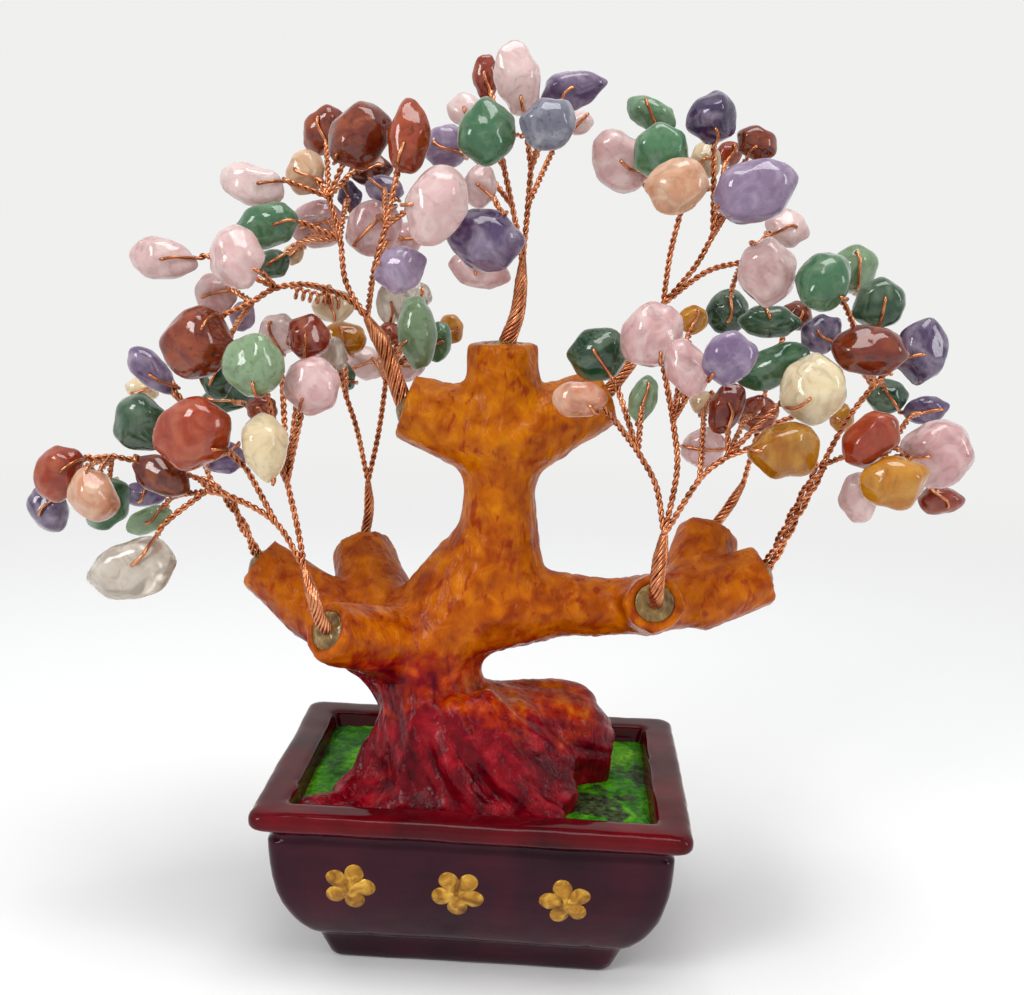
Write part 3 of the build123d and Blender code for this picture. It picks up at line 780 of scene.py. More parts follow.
amber, tree, shader, spot = new_finish("amber_glue")
milky = link_noise(tree, spot, 600.0, 3.0, 0.5)
resin = link_paint(tree, milky, (0.3, (104, 74, 24)), (0.55, (162, 126, 58)), (0.78, (214, 190, 128)))
tree.links.new(resin, shader.inputs["Base Color"])
set_sockets(shader, {
    "Roughness": 0.12,
    "Subsurface Weight": 0.35,
    "Subsurface Radius": (0.8, 0.6, 0.3),
    "Subsurface Scale": 2 * mm,
    "Transmission Weight": 0.4,
})
link_bump(tree, shader, milky, 0.5, 0.4 * mm)
glue.data.materials.append(amber)
dress(glue, "clear_glue", "glue_plugs")


# Wire branches. Each is a bundle of soft copper wires glued into one socket; the bundle is twisted,
# forks, and ends in pairs whose wire goes through each stone and comes back over its face.
crown_reach = 40.0 * mm
wire_radius = 0.33 * mm
wire_step = 0.4 * mm

# Thicknesses of the bundles, in millimetres
pair = 1.25
thin_bundle = 2.2
bundle = 3.0
thick_bundle = 3.8
thinnest_rope = 1.9
thickest_pair = 1.875

# How long a turn is: for ropes and loose bundles as shares of their thickness
rope_lay_share = 4.0
loose_lay_share = 5.2
pair_lay = 2.9 * mm
uneven_turn = 0.1
rope_end = 7 * mm
rope_end_share = 0.4
pair_spacing = 0.97
least_bundle_reach = 1.6
loose_branches = ("left_end", "right_end")

# A twig's bow and where it is highest, and how near its stone it stops
twig_bow_share = 0.12
twig_crest_share = 0.55
twig_thinning = 0.96
twig_gap = 0.7 * mm

# The wire's loop through a stone, in millimetres or wire radii: how deep its hole lies on the way
# to the middle, how far aside it sways, where it leaves the twig, arches and dips into the hole
hole_depth_least = 0.62
hole_depth_most = 0.95
loop_sway = 0.7
loop_start = 1.5
loop_bend = 0.35
loop_bend_out = 0.55
loop_shares = (0.2, 0.5, 0.8, 1.0)
loop_hover = 1.15
loop_arch = 1.1
loop_dip = 1.3
loop_dip_on = 0.3
loop_step_share = 0.8

# A curl of spare wire: where it starts and ends, with the depth back as a share of the crown's
curl_branch = "upper_left"
curl_ends = ((292, 292, -0.1), (341, 304, 0.05))
curl_radius = 1.0 * mm
curl_turns = 7
curl_steps = 140

# Chips: their flats, the even polish over them, and the dents that stay
flat_count = 7
flat_lean = 0.6
flat_share_least = 0.7
flat_share_most = 0.92
polish_pull = 0.5
polish_rounds = 6
most_stretch = 1.3
dents = ((0.1, 1.2), (0.04, 2.8))
far_off = 30 * mm

rose = "rose_quartz"
green = "green_aventurine"
violet = "amethyst"
red = "red_jasper"
orange = "carnelian"
yellow = "yellow_jasper"
cream = "moonstone"
clear = "rock_crystal"
grey = "grey_agate"

# For each branch its stems: pixel places with a depth share, thickness at both ends, and the
# stones: kind, pixel place, depth share, the stem's place where the twig leaves, and shade.
crown = {
    "upper_left": [
        (
            [(418, 416, -0.03), (404, 402, -0.03), (385, 350, -0.05), (367, 318, -0.08)],
            (thick_bundle, bundle),
            [],
        ),
        (
            [(367, 318, -0.08), (345, 297, -0.12), (310, 285, -0.17), (276, 288, -0.2), (252, 302, -0.22)],
            (thin_bundle, pair),
            [
                (rose, 163, 259, -0.2, 3, 0.7),
                (rose, 236, 258, -0.45, 3, 0.6),
                (rose, 216, 294, 0.02, 4, 0.5),
                (violet, 243, 317, 0.15, 4, 0.8),
                (red, 197, 343, -0.38, 4, 0.5),
                (cream, 333, 306, 0.1, 2, 0.7),
                (green, 218, 376, 0.02, 4, 0.1),
            ],
        ),
        (
            [(367, 318, -0.08), (346, 282, 0), (340, 238, 0.05), (329, 197, 0.08)],
            (thin_bundle, pair),
            [
                (rose, 252, 185, 0.05, 3, 0.9),
                (green, 267, 226, -0.12, 2, 0.35),
                (cream, 306, 173, 0.2, 3, 0.3),
                (rose, 319, 225, 0.4, 2, 0.3),
                (green, 271, 264, 0.2, 2, 0.1),
                (cream, 293, 254, 0.42, 2, 0.6),
                (red, 325, 130, 0.35, 3, 0.6),
                (red, 361, 137, -0.08, 3, 0.35),
                (red, 371, 170, 0.38, 3, 0.15),
                (violet, 350, 197, 0.42, 2, 0.2),
            ],
        ),
        (
            [(367, 318, -0.08), (374, 270, -0.25), (386, 226, -0.3)],
            (thin_bundle, pair),
            [
                (red, 409, 138, -0.25, 2, 0.8),
                (violet, 384, 189, 0.12, 2, 0.6),
                (rose, 374, 228, 0.1, 2, 0.3),
                (rose, 404, 240, 0.4, 1, 0.5),
                (violet, 400, 270, -0.4, 1, 0.85),
                (rose, 437, 206, -0.55, 2, 0.65),
            ],
        ),
    ],
    "top": [
        (
            [(503, 366, 0.03), (507, 343, 0.03), (518, 310, 0.03), (523, 258, 0.03)],
            (thick_bundle, thin_bundle),
            [],
        ),
        (
            [(523, 258, 0.03), (528, 205, 0), (531, 168, 0)],
            (thin_bundle, pair),
            [
                (rose, 517, 78, -0.12, 2, 0.75),
                (grey, 549, 124, -0.42, 2, 0.5),
                (violet, 572, 91, 0.15, 2, 0.35),
                (rose, 580, 123, 0.48, 1, 0.8),
            ],
        ),
        (
            [(523, 258, 0.03), (512, 205, 0.08), (504, 168, 0.08)],
            (thin_bundle, pair),
            [
                (green, 487, 133, -0.35, 2, 0.35),
                (orange, 486, 77, 0.25, 2, 0.2),
                (rose, 466, 110, 0.12, 2, 0.8),
                (violet, 446, 147, 0.38, 1, 0.7),
            ],
        ),
        (
            [(523, 262, 0.03), (510, 228, -0.08)],
            (pair, pair),
            [
                (rose, 480, 186, 0.0, 1, 0.7),
                (violet, 486, 241, -0.38, 1, 0.3),
                (rose, 479, 270, 0.12, 1, 0.6),
            ],
        ),
    ],
    "upper_right": [
        (
            [(592, 408, 0.08), (608, 392, 0.15), (640, 350, 0.25), (663, 304, 0.27)],
            (bundle, thin_bundle),
            [],
        ),
        (
            [(663, 304, 0.27), (670, 255, 0.2), (680, 214, 0.12)],
            (thin_bundle, pair),
            [
                (rose, 620, 162, 0.2, 2, 0.6),
                (green, 650, 114, 0.52, 2, 0.6),
                (green, 661, 152, -0.05, 2, 0.5),
                (cream, 677, 186, -0.38, 2, 0.2),
                (cream, 706, 160, 0.2, 2, 0.6),
            ],
        ),
        (
            [(663, 304, 0.27), (694, 268, 0.2), (713, 235, 0.12)],
            (thin_bundle, pair),
            [
                (violet, 713, 117, 0.0, 2, 0.1),
                (red, 757, 143, 0.1, 2, 0.3),
                (red, 729, 154, 0.48, 2, 0.6),
                (violet, 755, 191, -0.35, 2, 0.7),
            ],
        ),
        (
            [(663, 304, 0.27), (706, 272, 0.27), (742, 262, 0.2)],
            (thin_bundle, pair),
            [
                (rose, 787, 229, 0.35, 2, 0.8),
                (rose, 768, 272, -0.15, 2, 0.65),
                (green, 769, 322, 0.12, 2, 0.15),
                (green, 727, 312, 0.5, 2, 0.05),
            ],
        ),
    ],
    "left_front": [
        (
            [(336, 633, -0.45), (323, 624, -0.56), (314, 600, -0.62), (305, 570, -0.55)],
            (bundle, thin_bundle),
            [],
        ),
        (
            [(305, 570, -0.55), (276, 523, -0.5), (232, 497, -0.48), (206, 491, -0.46)],
            (thin_bundle, pair),
            [
                (green, 150, 520, -0.25, 3, 0.8),
                (clear, 134, 569, -0.6, 3, 0.6),
            ],
        ),
        (
            [(276, 523, -0.5), (250, 475, -0.46), (240, 462, -0.45)],
            (pair, pair),
            [
                (orange, 192, 433, -0.62, 2, 0.5),
                (violet, 222, 457, -0.18, 2, 0.5),
            ],
        ),
        (
            [(305, 570, -0.55), (297, 525, -0.47), (287, 482, -0.42)],
            (thin_bundle, pair),
            [
                (cream, 265, 447, -0.68, 2, 0.9),
                (green, 254, 364, -0.62, 2, 0.85),
                (rose, 312, 385, -0.52, 2, 0.5),
                (orange, 262, 409, -0.2, 2, 0.2),
                (orange, 309, 337, -0.22, 2, 0.15),
                (green, 228, 398, 0.3, 2, 0.1),
                (rose, 279, 334, 0.0, 2, 0.8),
            ],
        ),
    ],
    "left_end": [
        (
            [(270, 572, 0.07), (258, 556, 0.06), (228, 499, -0.03), (200, 479, -0.08)],
            (thin_bundle, thin_bundle),
            [],
        ),
        (
            [(200, 479, -0.08), (160, 466, -0.15), (112, 456, -0.2)],
            (pair, pair),
            [
                (orange, 59, 474, -0.32, 2, 0.4),
                (violet, 49, 509, 0.05, 2, 0.1),
                (cream, 93, 495, -0.5, 2, 0.1),
                (green, 108, 504, -0.08, 2, 0.4),
                (red, 162, 476, -0.45, 1, 0.2),
                (violet, 145, 494, 0.18, 1, 0.4),
            ],
        ),
        (
            [(214, 488, -0.05), (198, 445, 0.08), (186, 405, 0.12)],
            (pair, pair),
            [
                (green, 140, 423, -0.15, 1, 0.1),
                (violet, 152, 371, 0.12, 2, 0.6),
                (cream, 142, 390, 0.5, 2, 0.8),
            ],
        ),
    ],
    "left_back": [
        (
            [(362, 556, 0.33), (365, 535, 0.42), (369, 510, 0.42), (368, 482, 0.4)],
            (thin_bundle, thin_bundle),
            [],
        ),
        (
            [(368, 482, 0.4), (357, 430, 0.38), (346, 396, 0.36)],
            (pair, pair),
            [
                (clear, 333, 356, 0.22, 2, 0.5),
                (green, 346, 377, 0.55, 2, 0.2),
                (yellow, 345, 338, 0.62, 2, 0.5),
            ],
        ),
        (
            [(368, 482, 0.4), (379, 430, 0.42), (386, 380, 0.42)],
            (pair, pair),
            [
                (rose, 366, 363, 0.85, 2, 0.8),
                (rose, 402, 366, 0.7, 2, 0.7),
                (green, 417, 332, 0.25, 2, 0.7),
                (green, 438, 342, 0.6, 2, 0.5),
                (yellow, 451, 329, 0.85, 2, 0.5),
                (clear, 393, 303, 0.5, 2, 0.5),
                (clear, 419, 297, 0.8, 2, 0.6),
                (orange, 390, 334, 0.42, 2, 0.5),
            ],
        ),
    ],
    "right_front": [
        (
            [(654, 610, -0.2), (656, 596, -0.38), (658, 575, -0.4), (664, 535, -0.38)],
            (bundle, bundle),
            [],
        ),
        (
            [(664, 535, -0.38), (656, 486, -0.38), (638, 452, -0.4)],
            (thin_bundle, pair),
            [
                (green, 598, 355, -0.2, 2, 0.1),
                (cream, 580, 399, -0.62, 2, 0.0),
                (green, 643, 399, -0.12, 2, 0.75),
            ],
        ),
        (
            [(664, 535, -0.38), (677, 470, -0.38), (673, 420, -0.38)],
            (thin_bundle, pair),
            [
                (rose, 653, 335, -0.48, 2, 0.5),
                (rose, 687, 368, -0.72, 2, 0.4),
                (violet, 730, 358, -0.9, 2, 0.65),
                (yellow, 693, 320, -0.05, 2, 0.6),
            ],
        ),
        (
            [(664, 535, -0.38), (700, 479, -0.38), (728, 456, -0.38)],
            (thin_bundle, pair),
            [
                (yellow, 787, 451, -0.6, 2, 0.3),
                (rose, 704, 447, -0.02, 1, 0.65),
                (cream, 705, 403, 0.1, 1, 0.5),
                (orange, 727, 408, -0.3, 2, 0.1),
                (orange, 757, 414, 0.05, 2, 0.2),
                (cream, 814, 389, -0.45, 2, 1.0),
            ],
        ),
    ],
    "right_back": [
        (
            [(706, 548, 0.26), (712, 530, 0.4), (728, 508, 0.42), (743, 484, 0.4)],
            (thin_bundle, thin_bundle),
            [],
        ),
        (
            [(743, 484, 0.4), (758, 430, 0.4), (766, 385, 0.32)],
            (pair, pair),
            [
                (green, 773, 367, -0.25, 2, 0.25),
                (red, 796, 316, 0.5, 2, 0.3),
                (yellow, 842, 418, 0.4, 1, 0.6),
            ],
        ),
    ],
    "right_end": [
        (
            [(750, 583, 0.06), (768, 565, 0.09), (800, 505, 0.05), (822, 465, 0.03)],
            (bundle, bundle),
            [],
        ),
        (
            [(822, 465, 0.03), (847, 420, 0), (873, 386, -0.02)],
            (thin_bundle, pair),
            [
                (green, 887, 396, 0.3, 2, 0.05),
                (red, 871, 351, -0.3, 2, 0.4),
                (violet, 922, 351, 0.02, 2, 0.15),
                (green, 879, 304, 0.1, 2, 0.1),
                (green, 823, 282, -0.38, 2, 0.35),
                (green, 853, 270, 0.4, 2, 0.75),
                (violet, 822, 334, 0.15, 2, 0.1),
            ],
        ),
        (
            [(822, 465, 0.03), (850, 456, -0.1), (882, 462, -0.15)],
            (thin_bundle, pair),
            [
                (orange, 871, 439, -0.52, 2, 0.4),
                (yellow, 897, 483, -0.64, 2, 0.5),
                (rose, 938, 453, -0.22, 2, 0.45),
                (violet, 926, 410, 0.25, 2, 0.4),
                (rose, 859, 498, -0.15, 2, 0.7),
                (orange, 940, 500, 0.2, 2, 0.3),
            ],
        ),
    ],
}


def rounded(points, step):
    """The points of a soft line through these places, about a step apart."""
    if len(points) == 2:
        points = [points[0], (points[0] + points[1]) / 2, points[1]]
    ends = [points[0] * 2 - points[1], *points, points[-1] * 2 - points[-2]]
    line = []
    for a, b, c, d in zip(ends, ends[1:], ends[2:], ends[3:]):
        count = max(2, int((c - b).length / step))
        for index in range(count):
            t = index / count
            bend = (a * 2 - b * 5 + c * 4 - d) * t * t + (b * 3 - a - c * 3 + d) * t ** 3
            line.append((b * 2 + (c - a) * t + bend) / 2)
    line.append(points[-1].copy())
    return line


def line_frames(line):
    """Along a line: each point, two directions square to the line there, and the way to it."""
    side = (line[1] - line[0]).orthogonal().normalized()
    last = len(line) - 1
    gone = 0.0
    frames = []
    for index, point in enumerate(line):
        next_point = line[min(index + 1, last)]
        direction = (next_point - line[max(index - 1, 0)]).normalized()
        side = (side - direction * side.dot(direction)).normalized()
        frames.append((point, side, direction.cross(side), gone))
        gone += (next_point - point).length
    return frames


def twisted(line, first_thickness, last_thickness, chance, loose=False):
    """The lines of a bundle's wires: a tight rope where it is thick, and otherwise twisted pairs."""
    thickness = (first_thickness + last_thickness) / 2
    rope = thickness > thinnest_rope and not loose
    if rope:
        cores = round(math.pi / math.asin(wire_radius / (thickness / 2 * mm - wire_radius)))
    else:
        cores = 1 if thickness < thickest_pair else max(2, round(thickness))
    lay = (rope_lay_share if rope else loose_lay_share) * thickness * mm
    turns = [chance.uniform(0, 2 * math.pi)]
    for number in range(1, cores):
        turns.append(turns[0] + 2 * math.pi * number / cores + chance.uniform(-uneven_turn, uneven_turn))
    starts = [chance.uniform(0, math.pi) for _ in turns]
    lines = [[] for _ in range(cores if rope else 2 * cores)]
    frames = line_frames(line)
    length = frames[-1][-1]
    for index, (point, side, other, gone) in enumerate(frames):
        share = index / (len(frames) - 1)
        half = (first_thickness + (last_thickness - first_thickness) * share) / 2 * mm
        if rope:
            reach = (half - wire_radius) * min(1, rope_end_share + (1 - share) * length / rope_end)
        else:
            widest = max(half - 2 * wire_radius, least_bundle_reach * wire_radius)
            reach = widest if cores > 1 else 0.0
        for number, (turn, start) in enumerate(zip(turns, starts)):
            core = point + turned(side, other, turn + 2 * math.pi * gone / lay) * reach
            if rope:
                lines[number].append(core)
                continue
            away = turned(side, other, start + 2 * math.pi * gone / pair_lay)
            away *= wire_radius * pair_spacing
            lines[2 * number].append(core + away)
            lines[2 * number + 1].append(core - away)
    return lines


def spare_curl():
    """A curl of wire that was left over, wound like a small spring."""
    start, end = (place(across, down, depth * crown_reach) for across, down, depth in curl_ends)
    along = (end - start).normalized()
    side = along.orthogonal().normalized()
    other = along.cross(side)
    curl = []
    for step in range(curl_steps + 1):
        share = step / curl_steps
        away = turned(side, other, share * curl_turns * 2 * math.pi) * curl_radius
        curl.append(start.lerp(end, share) + away)
    return curl


def islands(node):
    """The points of each separate stone of a CAD node, or of each part of one, in the frame."""
    mesh = node.data
    owner = list(range(len(mesh.vertices)))

    def find(index):
        while owner[index] != index:
            owner[index] = owner[owner[index]]
            index = owner[index]
        return index

    by_place = {}
    for vertex in mesh.vertices:
        key = tuple(round(value / (0.001 * mm)) for value in vertex.co)
        owner[find(vertex.index)] = find(by_place.setdefault(key, vertex.index))
    for polygon in mesh.polygons:
        first = find(polygon.vertices[0])
        for index in polygon.vertices[1:]:
            owner[find(index)] = first
    groups = {}
    for vertex in mesh.vertices:
        groups.setdefault(find(vertex.index), []).append(vertex.co.copy())
    return list(groups.values())


def stones_of(branch, stems):
    """For each kind on a branch, the CAD points of its stones, in the table's order."""
    centres = {}
    for places, thicknesses, stones in stems:
        for kind, across, down, depth, leave, shade in stones:
            centres.setdefault(kind, []).append(place(across, down, depth * crown_reach))
    found = {}
    for kind, middles in centres.items():
        shares = [[] for _ in middles]
        for points in islands(nodes[branch + "_" + kind]):
            middle = sum(points, Vector()) / len(points)
            nearest = min(range(len(middles)), key=lambda index: (middles[index] - middle).length)
            shares[nearest].extend(points)
        if not all(shares):
            raise RuntimeError(branch + " lacks a stone: " + kind)
        found[kind] = iter(shares)
    return found


ball = bmesh.new()
bmesh.ops.create_icosphere(ball, subdivisions=4, radius=1)
ball.verts.ensure_lookup_table()
ball_points = np.array([tuple(vertex.co) for vertex in ball.verts])
ball_faces = [tuple(vertex.index for vertex in face.verts) for face in ball.faces]
ball_edges = np.array([tuple(vertex.index for vertex in edge.verts) for edge in ball.edges])
ball.free()


def tumbled(points, chance):
    """A chip's polished surface over the hull of these points, a tree to find it by, its middle."""
    hull = bmesh.new()
    for point in points:
        hull.verts.new(point)
    bmesh.ops.convex_hull(hull, input=hull.verts)
    inside = [vertex for vertex in hull.verts if not vertex.link_faces]
    bmesh.ops.delete(hull, geom=inside, context="VERTS")
    finder = BVHTree.FromBMesh(hull)
    corners = np.array([tuple(vertex.co) for vertex in hull.verts])
    hull.free()
    low = corners.min(axis=0)
    high = corners.max(axis=0)
    middle = (low + high) / 2
    half = (high - low) / 2
    centre = Vector(middle)
    surface = np.empty_like(ball_points)
    for index, unit in enumerate(ball_points):
        hit = finder.ray_cast(centre, Vector(unit * half).normalized())[0]
        surface[index] = hit if hit is not None else centre
    surface -= middle
    for _ in range(flat_count):
        lean = (chance.gauss(0, flat_lean), chance.choice((-1, 1)), chance.gauss(0, flat_lean))
        facing = np.array(Vector(lean).normalized())
        reach = surface @ facing
        proud = np.maximum(reach - reach.max() * chance.uniform(flat_share_least, flat_share_most), 0)
        surface -= proud[:, None] * facing
    even = smooth_points(surface, ball_edges, np.full(len(surface), polish_pull), polish_rounds)
    stretch = (high - low) / np.maximum(even.max(axis=0) - even.min(axis=0), 1e-6)
    even = even * np.minimum(stretch, most_stretch)
    seed = Vector((chance.uniform(0, 50), chance.uniform(0, 50), chance.uniform(0, 50)))
    size = float(half.mean())
    for index in range(len(even)):
        spot = Vector(even[index] / size)
        even[index] *= 1 + sum(depth * noise.noise(spot * often + seed) for depth, often in dents)
    even = np.clip(even + middle, np.array(cad_low) + 0.01 * mm, np.array(cad_high) - 0.01 * mm)
    return even, BVHTree.FromPolygons([tuple(point) for point in even], ball_faces), centre


def loop_lines(finder, centre, arrival, chance):
    """The wire's way through the stone's hole: over its front to the twig and back behind it."""
    edge_hit = finder.ray_cast(centre - arrival * far_off, arrival)[0]
    if edge_hit is None:
        return []
    hole = edge_hit.lerp(centre, chance.uniform(hole_depth_least, hole_depth_most))
    side = arrival.cross(Vector((0, 1, 0)))
    if side.length < 0.2:
        side = arrival.cross(Vector((1, 0, 0)))
    front = side.cross(arrival).normalized()
    if front.y > 0:
        front = -front
    sideways = side.normalized() * chance.uniform(-loop_sway, loop_sway) * mm
    lines = []
    for facing in (front, -front):
        bend = edge_hit - arrival * loop_bend * mm + facing * loop_bend_out * mm
        line = [edge_hit - arrival * loop_start * mm, bend]
        for share in loop_shares:
            arch = math.sin(math.pi * share)
            spot = edge_hit.lerp(hole, share) + sideways * arch
            hit = finder.ray_cast(spot + facing * far_off, -facing)[0]
            if hit is not None:
                line.append(hit + facing * wire_radius * (loop_hover + loop_arch * arch))
        line.append(line[-1] - facing * loop_dip * mm + arrival * loop_dip_on * mm)
        lines.append(line)
    return lines


def wire_object(name, lines):
    """Round wires along these lines, in one object."""
    curve = bpy.data.curves.new(name, "CURVE")
    curve.dimensions = "3D"
    curve.bevel_depth = wire_radius
    curve.bevel_resolution = 1
    curve.use_fill_caps = True
    for line in lines:
        spline = curve.splines.new("POLY")
        spline.points.add(len(line) - 1)
        spline.points.foreach_set("co", [value for point in line for value in (*point, 1)])
        spline.use_smooth = True
    made = bpy.data.objects.new(name, curve)
    scene.collection.objects.link(made)
    return made


copper, tree, shader, spot = new_finish("copper_wire")
tarnish = link_noise(tree, spot, 260.0, 3.0)
bright = link_paint(tree, tarnish, (0.3, (142, 82, 50)), (0.55, (198, 126, 86)), (0.75, (232, 170, 128)))
tree.links.new(bright, shader.inputs["Base Color"])
set_sockets(shader, {"Metallic": 0.95, "Roughness": 0.22})
link_bump(tree, shader, link_noise(tree, spot, 1500.0, 2.0), 0.2, 0.2 * mm)

# Each stone's surface is made here, with its branch, because the wire runs over it
chips = {}
for branch, stems in crown.items():
    chance = random.Random(branch)
    found = stones_of(branch, stems)
    wire_lines = []
    for places, thicknesses, stones in stems:
        stem = [place(across, down, depth * crown_reach) for across, down, depth in places]
        wire_lines += twisted(rounded(stem, wire_step), *thicknesses, chance, branch in loose_branches)
        for kind, across, down, depth, leave, shade in stones:
            centre = place(across, down, depth * crown_reach)
            surface, finder, middle = tumbled(next(found[kind]), chance)
            fork = stem[leave]
            run = centre - fork
            crest = fork + run * twig_crest_share + Vector((0, 0, twig_bow_share * run.length))
            arrival = (centre - crest).normalized()
            hit = finder.ray_cast(centre - arrival * far_off, arrival)[0]
            end = (hit if hit is not None else centre) - arrival * twig_gap
            twig = rounded([fork, crest, end], wire_step)
            wire_lines += twisted(twig, pair, pair * twig_thinning, chance)
            for line in loop_lines(finder, centre, arrival, chance):
                wire_lines.append(rounded(line, wire_step * loop_step_share))
            chips.setdefault((branch, kind), []).append((surface, shade, chance.uniform(0, 1)))
    if branch == curl_branch:
        wire_lines.append(spare_curl())
    wires = wire_object(branch + "_copper_wires", wire_lines)
    wires.data.materials.append(copper)
    dress(wires, "copper_wire", branch + "_wires")


# Stones. Tumbled chips of nine kinds, drilled and threaded on the wire. Each kind is polished to a
# wet gloss, clouded or veined inside, and shades from dark to pale from stone to stone.
shade_spread = 0.1
stone_ior = 1.54
stone_glow_depth = 3 * mm

# For each kind: dark, middle and pale shade, veins, and how cloudy, glowing, clear and flecked
stone_looks = {
    "rose_quartz": (
        ((178, 118, 124), (216, 172, 171), (238, 216, 212)), (246, 232, 227), 0.6, 0.5, 0.3, 0.0,
    ),
    "green_aventurine": (
        ((16, 54, 34), (72, 124, 84), (158, 178, 138)), (180, 200, 168), 0.3, 0.35, 0.2, 0.35,
    ),
    "amethyst": (
        ((44, 26, 70), (106, 80, 124), (176, 154, 180)), (206, 190, 208), 0.55, 0.45, 0.26, 0.1,
    ),
    "red_jasper": (
        ((62, 13, 7), (120, 36, 13), (166, 64, 24)), (184, 98, 50), 0.5, 0.12, 0.12, 0.8,
    ),
    "carnelian": (
        ((106, 18, 4), (160, 50, 16), (198, 98, 54)), (214, 134, 92), 0.45, 0.4, 0.2, 0.1,
    ),
    "yellow_jasper": (
        ((126, 70, 0), (180, 110, 0), (210, 152, 22)), (222, 176, 70), 0.4, 0.3, 0.1, 0.15,
    ),
    "moonstone": (
        ((204, 132, 100), (214, 186, 148), (228, 210, 170)), (240, 228, 202), 0.5, 0.45, 0.2, 0.0,
    ),
    "rock_crystal": (
        ((186, 172, 152), (208, 194, 178), (224, 216, 204)), (242, 238, 228), 0.6, 0.5, 0.6, 0.05,
    ),
    "grey_agate": (
        ((76, 78, 94), (112, 112, 128), (158, 156, 166)), (190, 190, 198), 0.5, 0.3, 0.08, 0.6,
    ),
}


def stone_finish(kind):
    """The polished finish of one kind of stone."""
    (dark, mid, pale), vein, cloudy, glowing, clear_share, flecked = stone_looks[kind]
    material, tree, shader, spot = new_finish(kind)
    tone = link_paint(tree, link_attribute(tree, "shade"), (0.0, dark), (0.5, mid), (1.0, pale))
    clouds = link_mask(tree, link_noise(tree, spot, 170.0, 5.0, 1.6), 0.42, 0.72, cloudy)
    tone = link_mix(tree, clouds, tone, (*rgb(*vein), 1))
    depths = link_noise(tree, spot, 240.0, 4.0, 2.2)
    shadows = link_ramp(tree, depths, [(0.5, (1, 1, 1)), (0.72, (0.62, 0.6, 0.6))])
    tone = link_mix(tree, 0.7, tone, shadows, "MULTIPLY")
    if flecked > 0:
        fleck = link_noise(tree, spot, 900.0, 3.0, 0.4)
        flecks = link_ramp(tree, fleck, [(0.56, (1, 1, 1)), (0.68, (1 - 0.75 * flecked,) * 3)])
        tone = link_mix(tree, 0.9, tone, flecks, "MULTIPLY")
    tree.links.new(tone, shader.inputs["Base Color"])
    set_sockets(shader, {
        "Roughness": 0.07,
        "IOR": stone_ior,
        "Subsurface Weight": glowing,
        "Subsurface Radius": (1.0, 0.85, 0.8),
        "Subsurface Scale": stone_glow_depth,
        "Transmission Weight": clear_share,
    })
    link_bump(tree, shader, link_noise(tree, spot, 420.0, 3.0, 0.5), 0.12, 0.4 * mm)
    return material


stone_finishes = {kind: stone_finish(kind) for kind in stone_looks}
for (branch, kind), stones in chips.items():
    vertices = []
    faces = []
    shades = []
    for surface, shade, jitter in stones:
        base = len(vertices)
        vertices.extend(surface)
        faces.extend(tuple(base + index for index in face) for face in ball_faces)
        shades.extend([held(shade + shade_spread * (jitter - 0.5))] * len(surface))
    group = mesh_object(branch + "_" + kind + "_chips", vertices, faces)
    group.data.attributes.new("shade", "FLOAT", "POINT").data.foreach_set("value", shades)
    group.data.materials.append(stone_finishes[kind])
    dress(group, kind, branch + "_" + kind)


# Gold ornaments. Three plain five-petalled blossoms in raised relief on the planter's front,
# brushed with gold paint.
blossom_pixels = ((349, 886), (458, 893), (566, 903))
blossom_depth = -25.9 * mm
blossom_radius = 5.2
blossom_rise = 0.75
blossom_seat = 0.3
blossom_back = 1.6 * mm
blossom_turn = 0.35
blossom_slope = 3.5
petal_count = 5
petal_gap_share = 0.62
petal_roundness = 0.6
middle_rise = 0.8 * mm
heart_rise = 0.35
heart_share = 0.12
groove_depth = 0.22
brush_rise = 0.08
petal_rings = 14
petal_steps = 90
wall_heights, wall_insets = zip(*outer_profile)


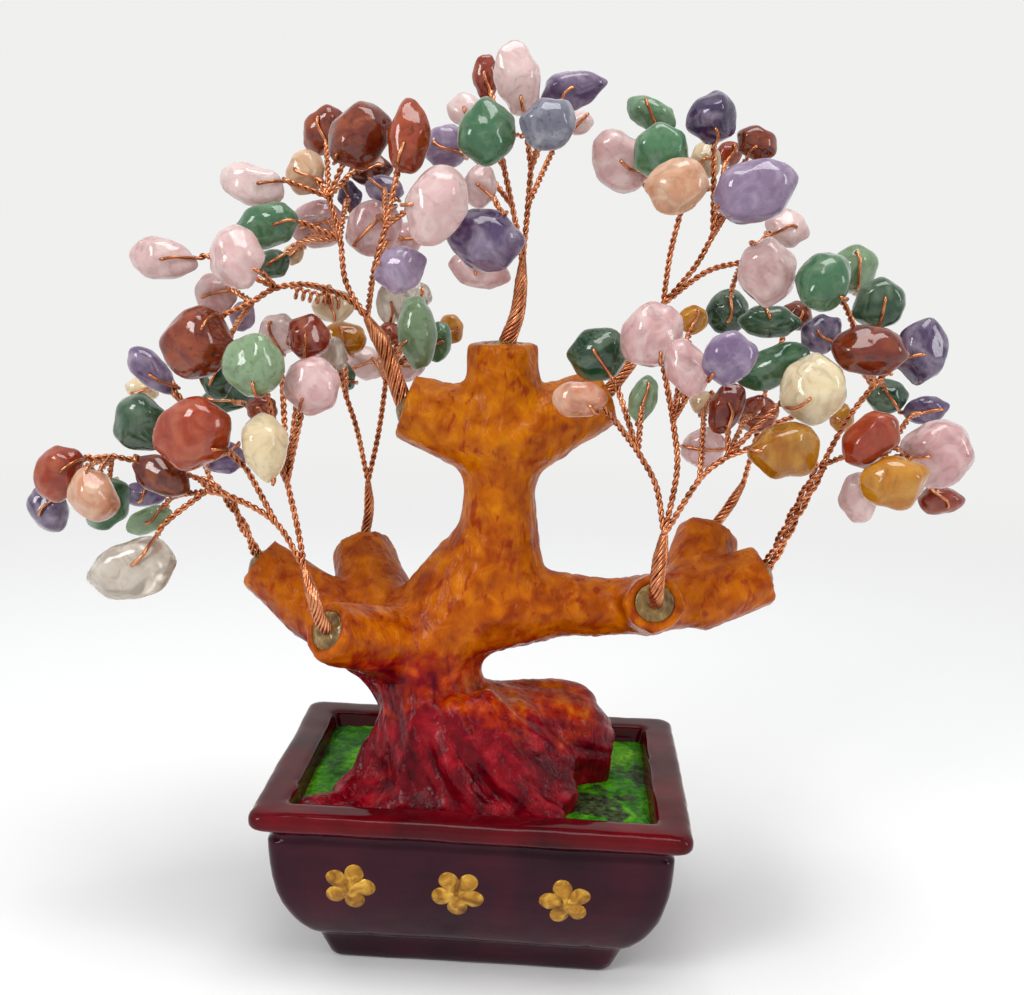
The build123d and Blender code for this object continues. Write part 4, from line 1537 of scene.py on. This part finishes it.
def wall_front(height):
    """How far forward a blossom sits on the planter's front at this height, in metres."""
    inset = float(np.interp(height / mm, wall_heights, wall_insets))
    return (-planter_depth / 2 + inset + blossom_seat) * mm


gold_vertices = []
gold_faces = []
for number, (across, down) in enumerate(blossom_pixels):
    middle = place(across, down, blossom_depth)
    spin = blossom_turn * number
    base = len(gold_vertices)
    first = base + 1
    gold_vertices.append((middle.x, wall_front(middle.z) - middle_rise, middle.z))
    for ring in range(1, petal_rings + 1):
        share = ring / petal_rings
        heart = heart_rise * math.exp(-((share - heart_share) / heart_share) ** 2)
        for step in range(petal_steps):
            angle = 2 * math.pi * step / petal_steps
            petal = abs(math.cos(petal_count / 2 * (angle + spin)))
            width = petal_gap_share + (1 - petal_gap_share) * petal ** petal_roundness
            reach = blossom_radius * share * width
            brushed = brush_rise * noise.noise(Vector((angle * 2, share * 6, number)))
            groove = groove_depth * (1 - petal) * min(1, share * 2)
            lift = blossom_rise * (1 - share ** blossom_slope) + heart - groove + brushed
            height = middle.z + reach * math.sin(angle) * mm
            forward = wall_front(height) - lift * mm
            gold_vertices.append((middle.x + reach * math.cos(angle) * mm, forward, height))
    rim = first + (petal_rings - 1) * petal_steps
    back = rim + petal_steps
    gold_vertices += [(x, y + blossom_back, z) for x, y, z in gold_vertices[rim:back]]
    gold_faces += [(base, first + step, first + (step + 1) % petal_steps) for step in range(petal_steps)]
    for inner in range(first, rim, petal_steps):
        gold_faces += band(inner + petal_steps, inner, petal_steps)
    gold_faces += band(back, rim, petal_steps)
    gold_faces.append(tuple(reversed(range(back, back + petal_steps))))
blossoms = mesh_object("gold_blossoms", gold_vertices, gold_faces)

gold, tree, shader, spot = new_finish("gold_paint")
strokes = link_noise(tree, spot, 420.0, 4.0, 0.8)
gilt = link_paint(tree, strokes, (0.3, (108, 66, 10)), (0.5, (168, 116, 28)), (0.72, (216, 170, 68)))
tree.links.new(gilt, shader.inputs["Base Color"])
set_sockets(shader, {"Metallic": 0.55, "Roughness": 0.42})
link_bump(tree, shader, strokes, 0.5, 0.4 * mm)
blossoms.data.materials.append(gold)
dress(blossoms, "gold_paint")
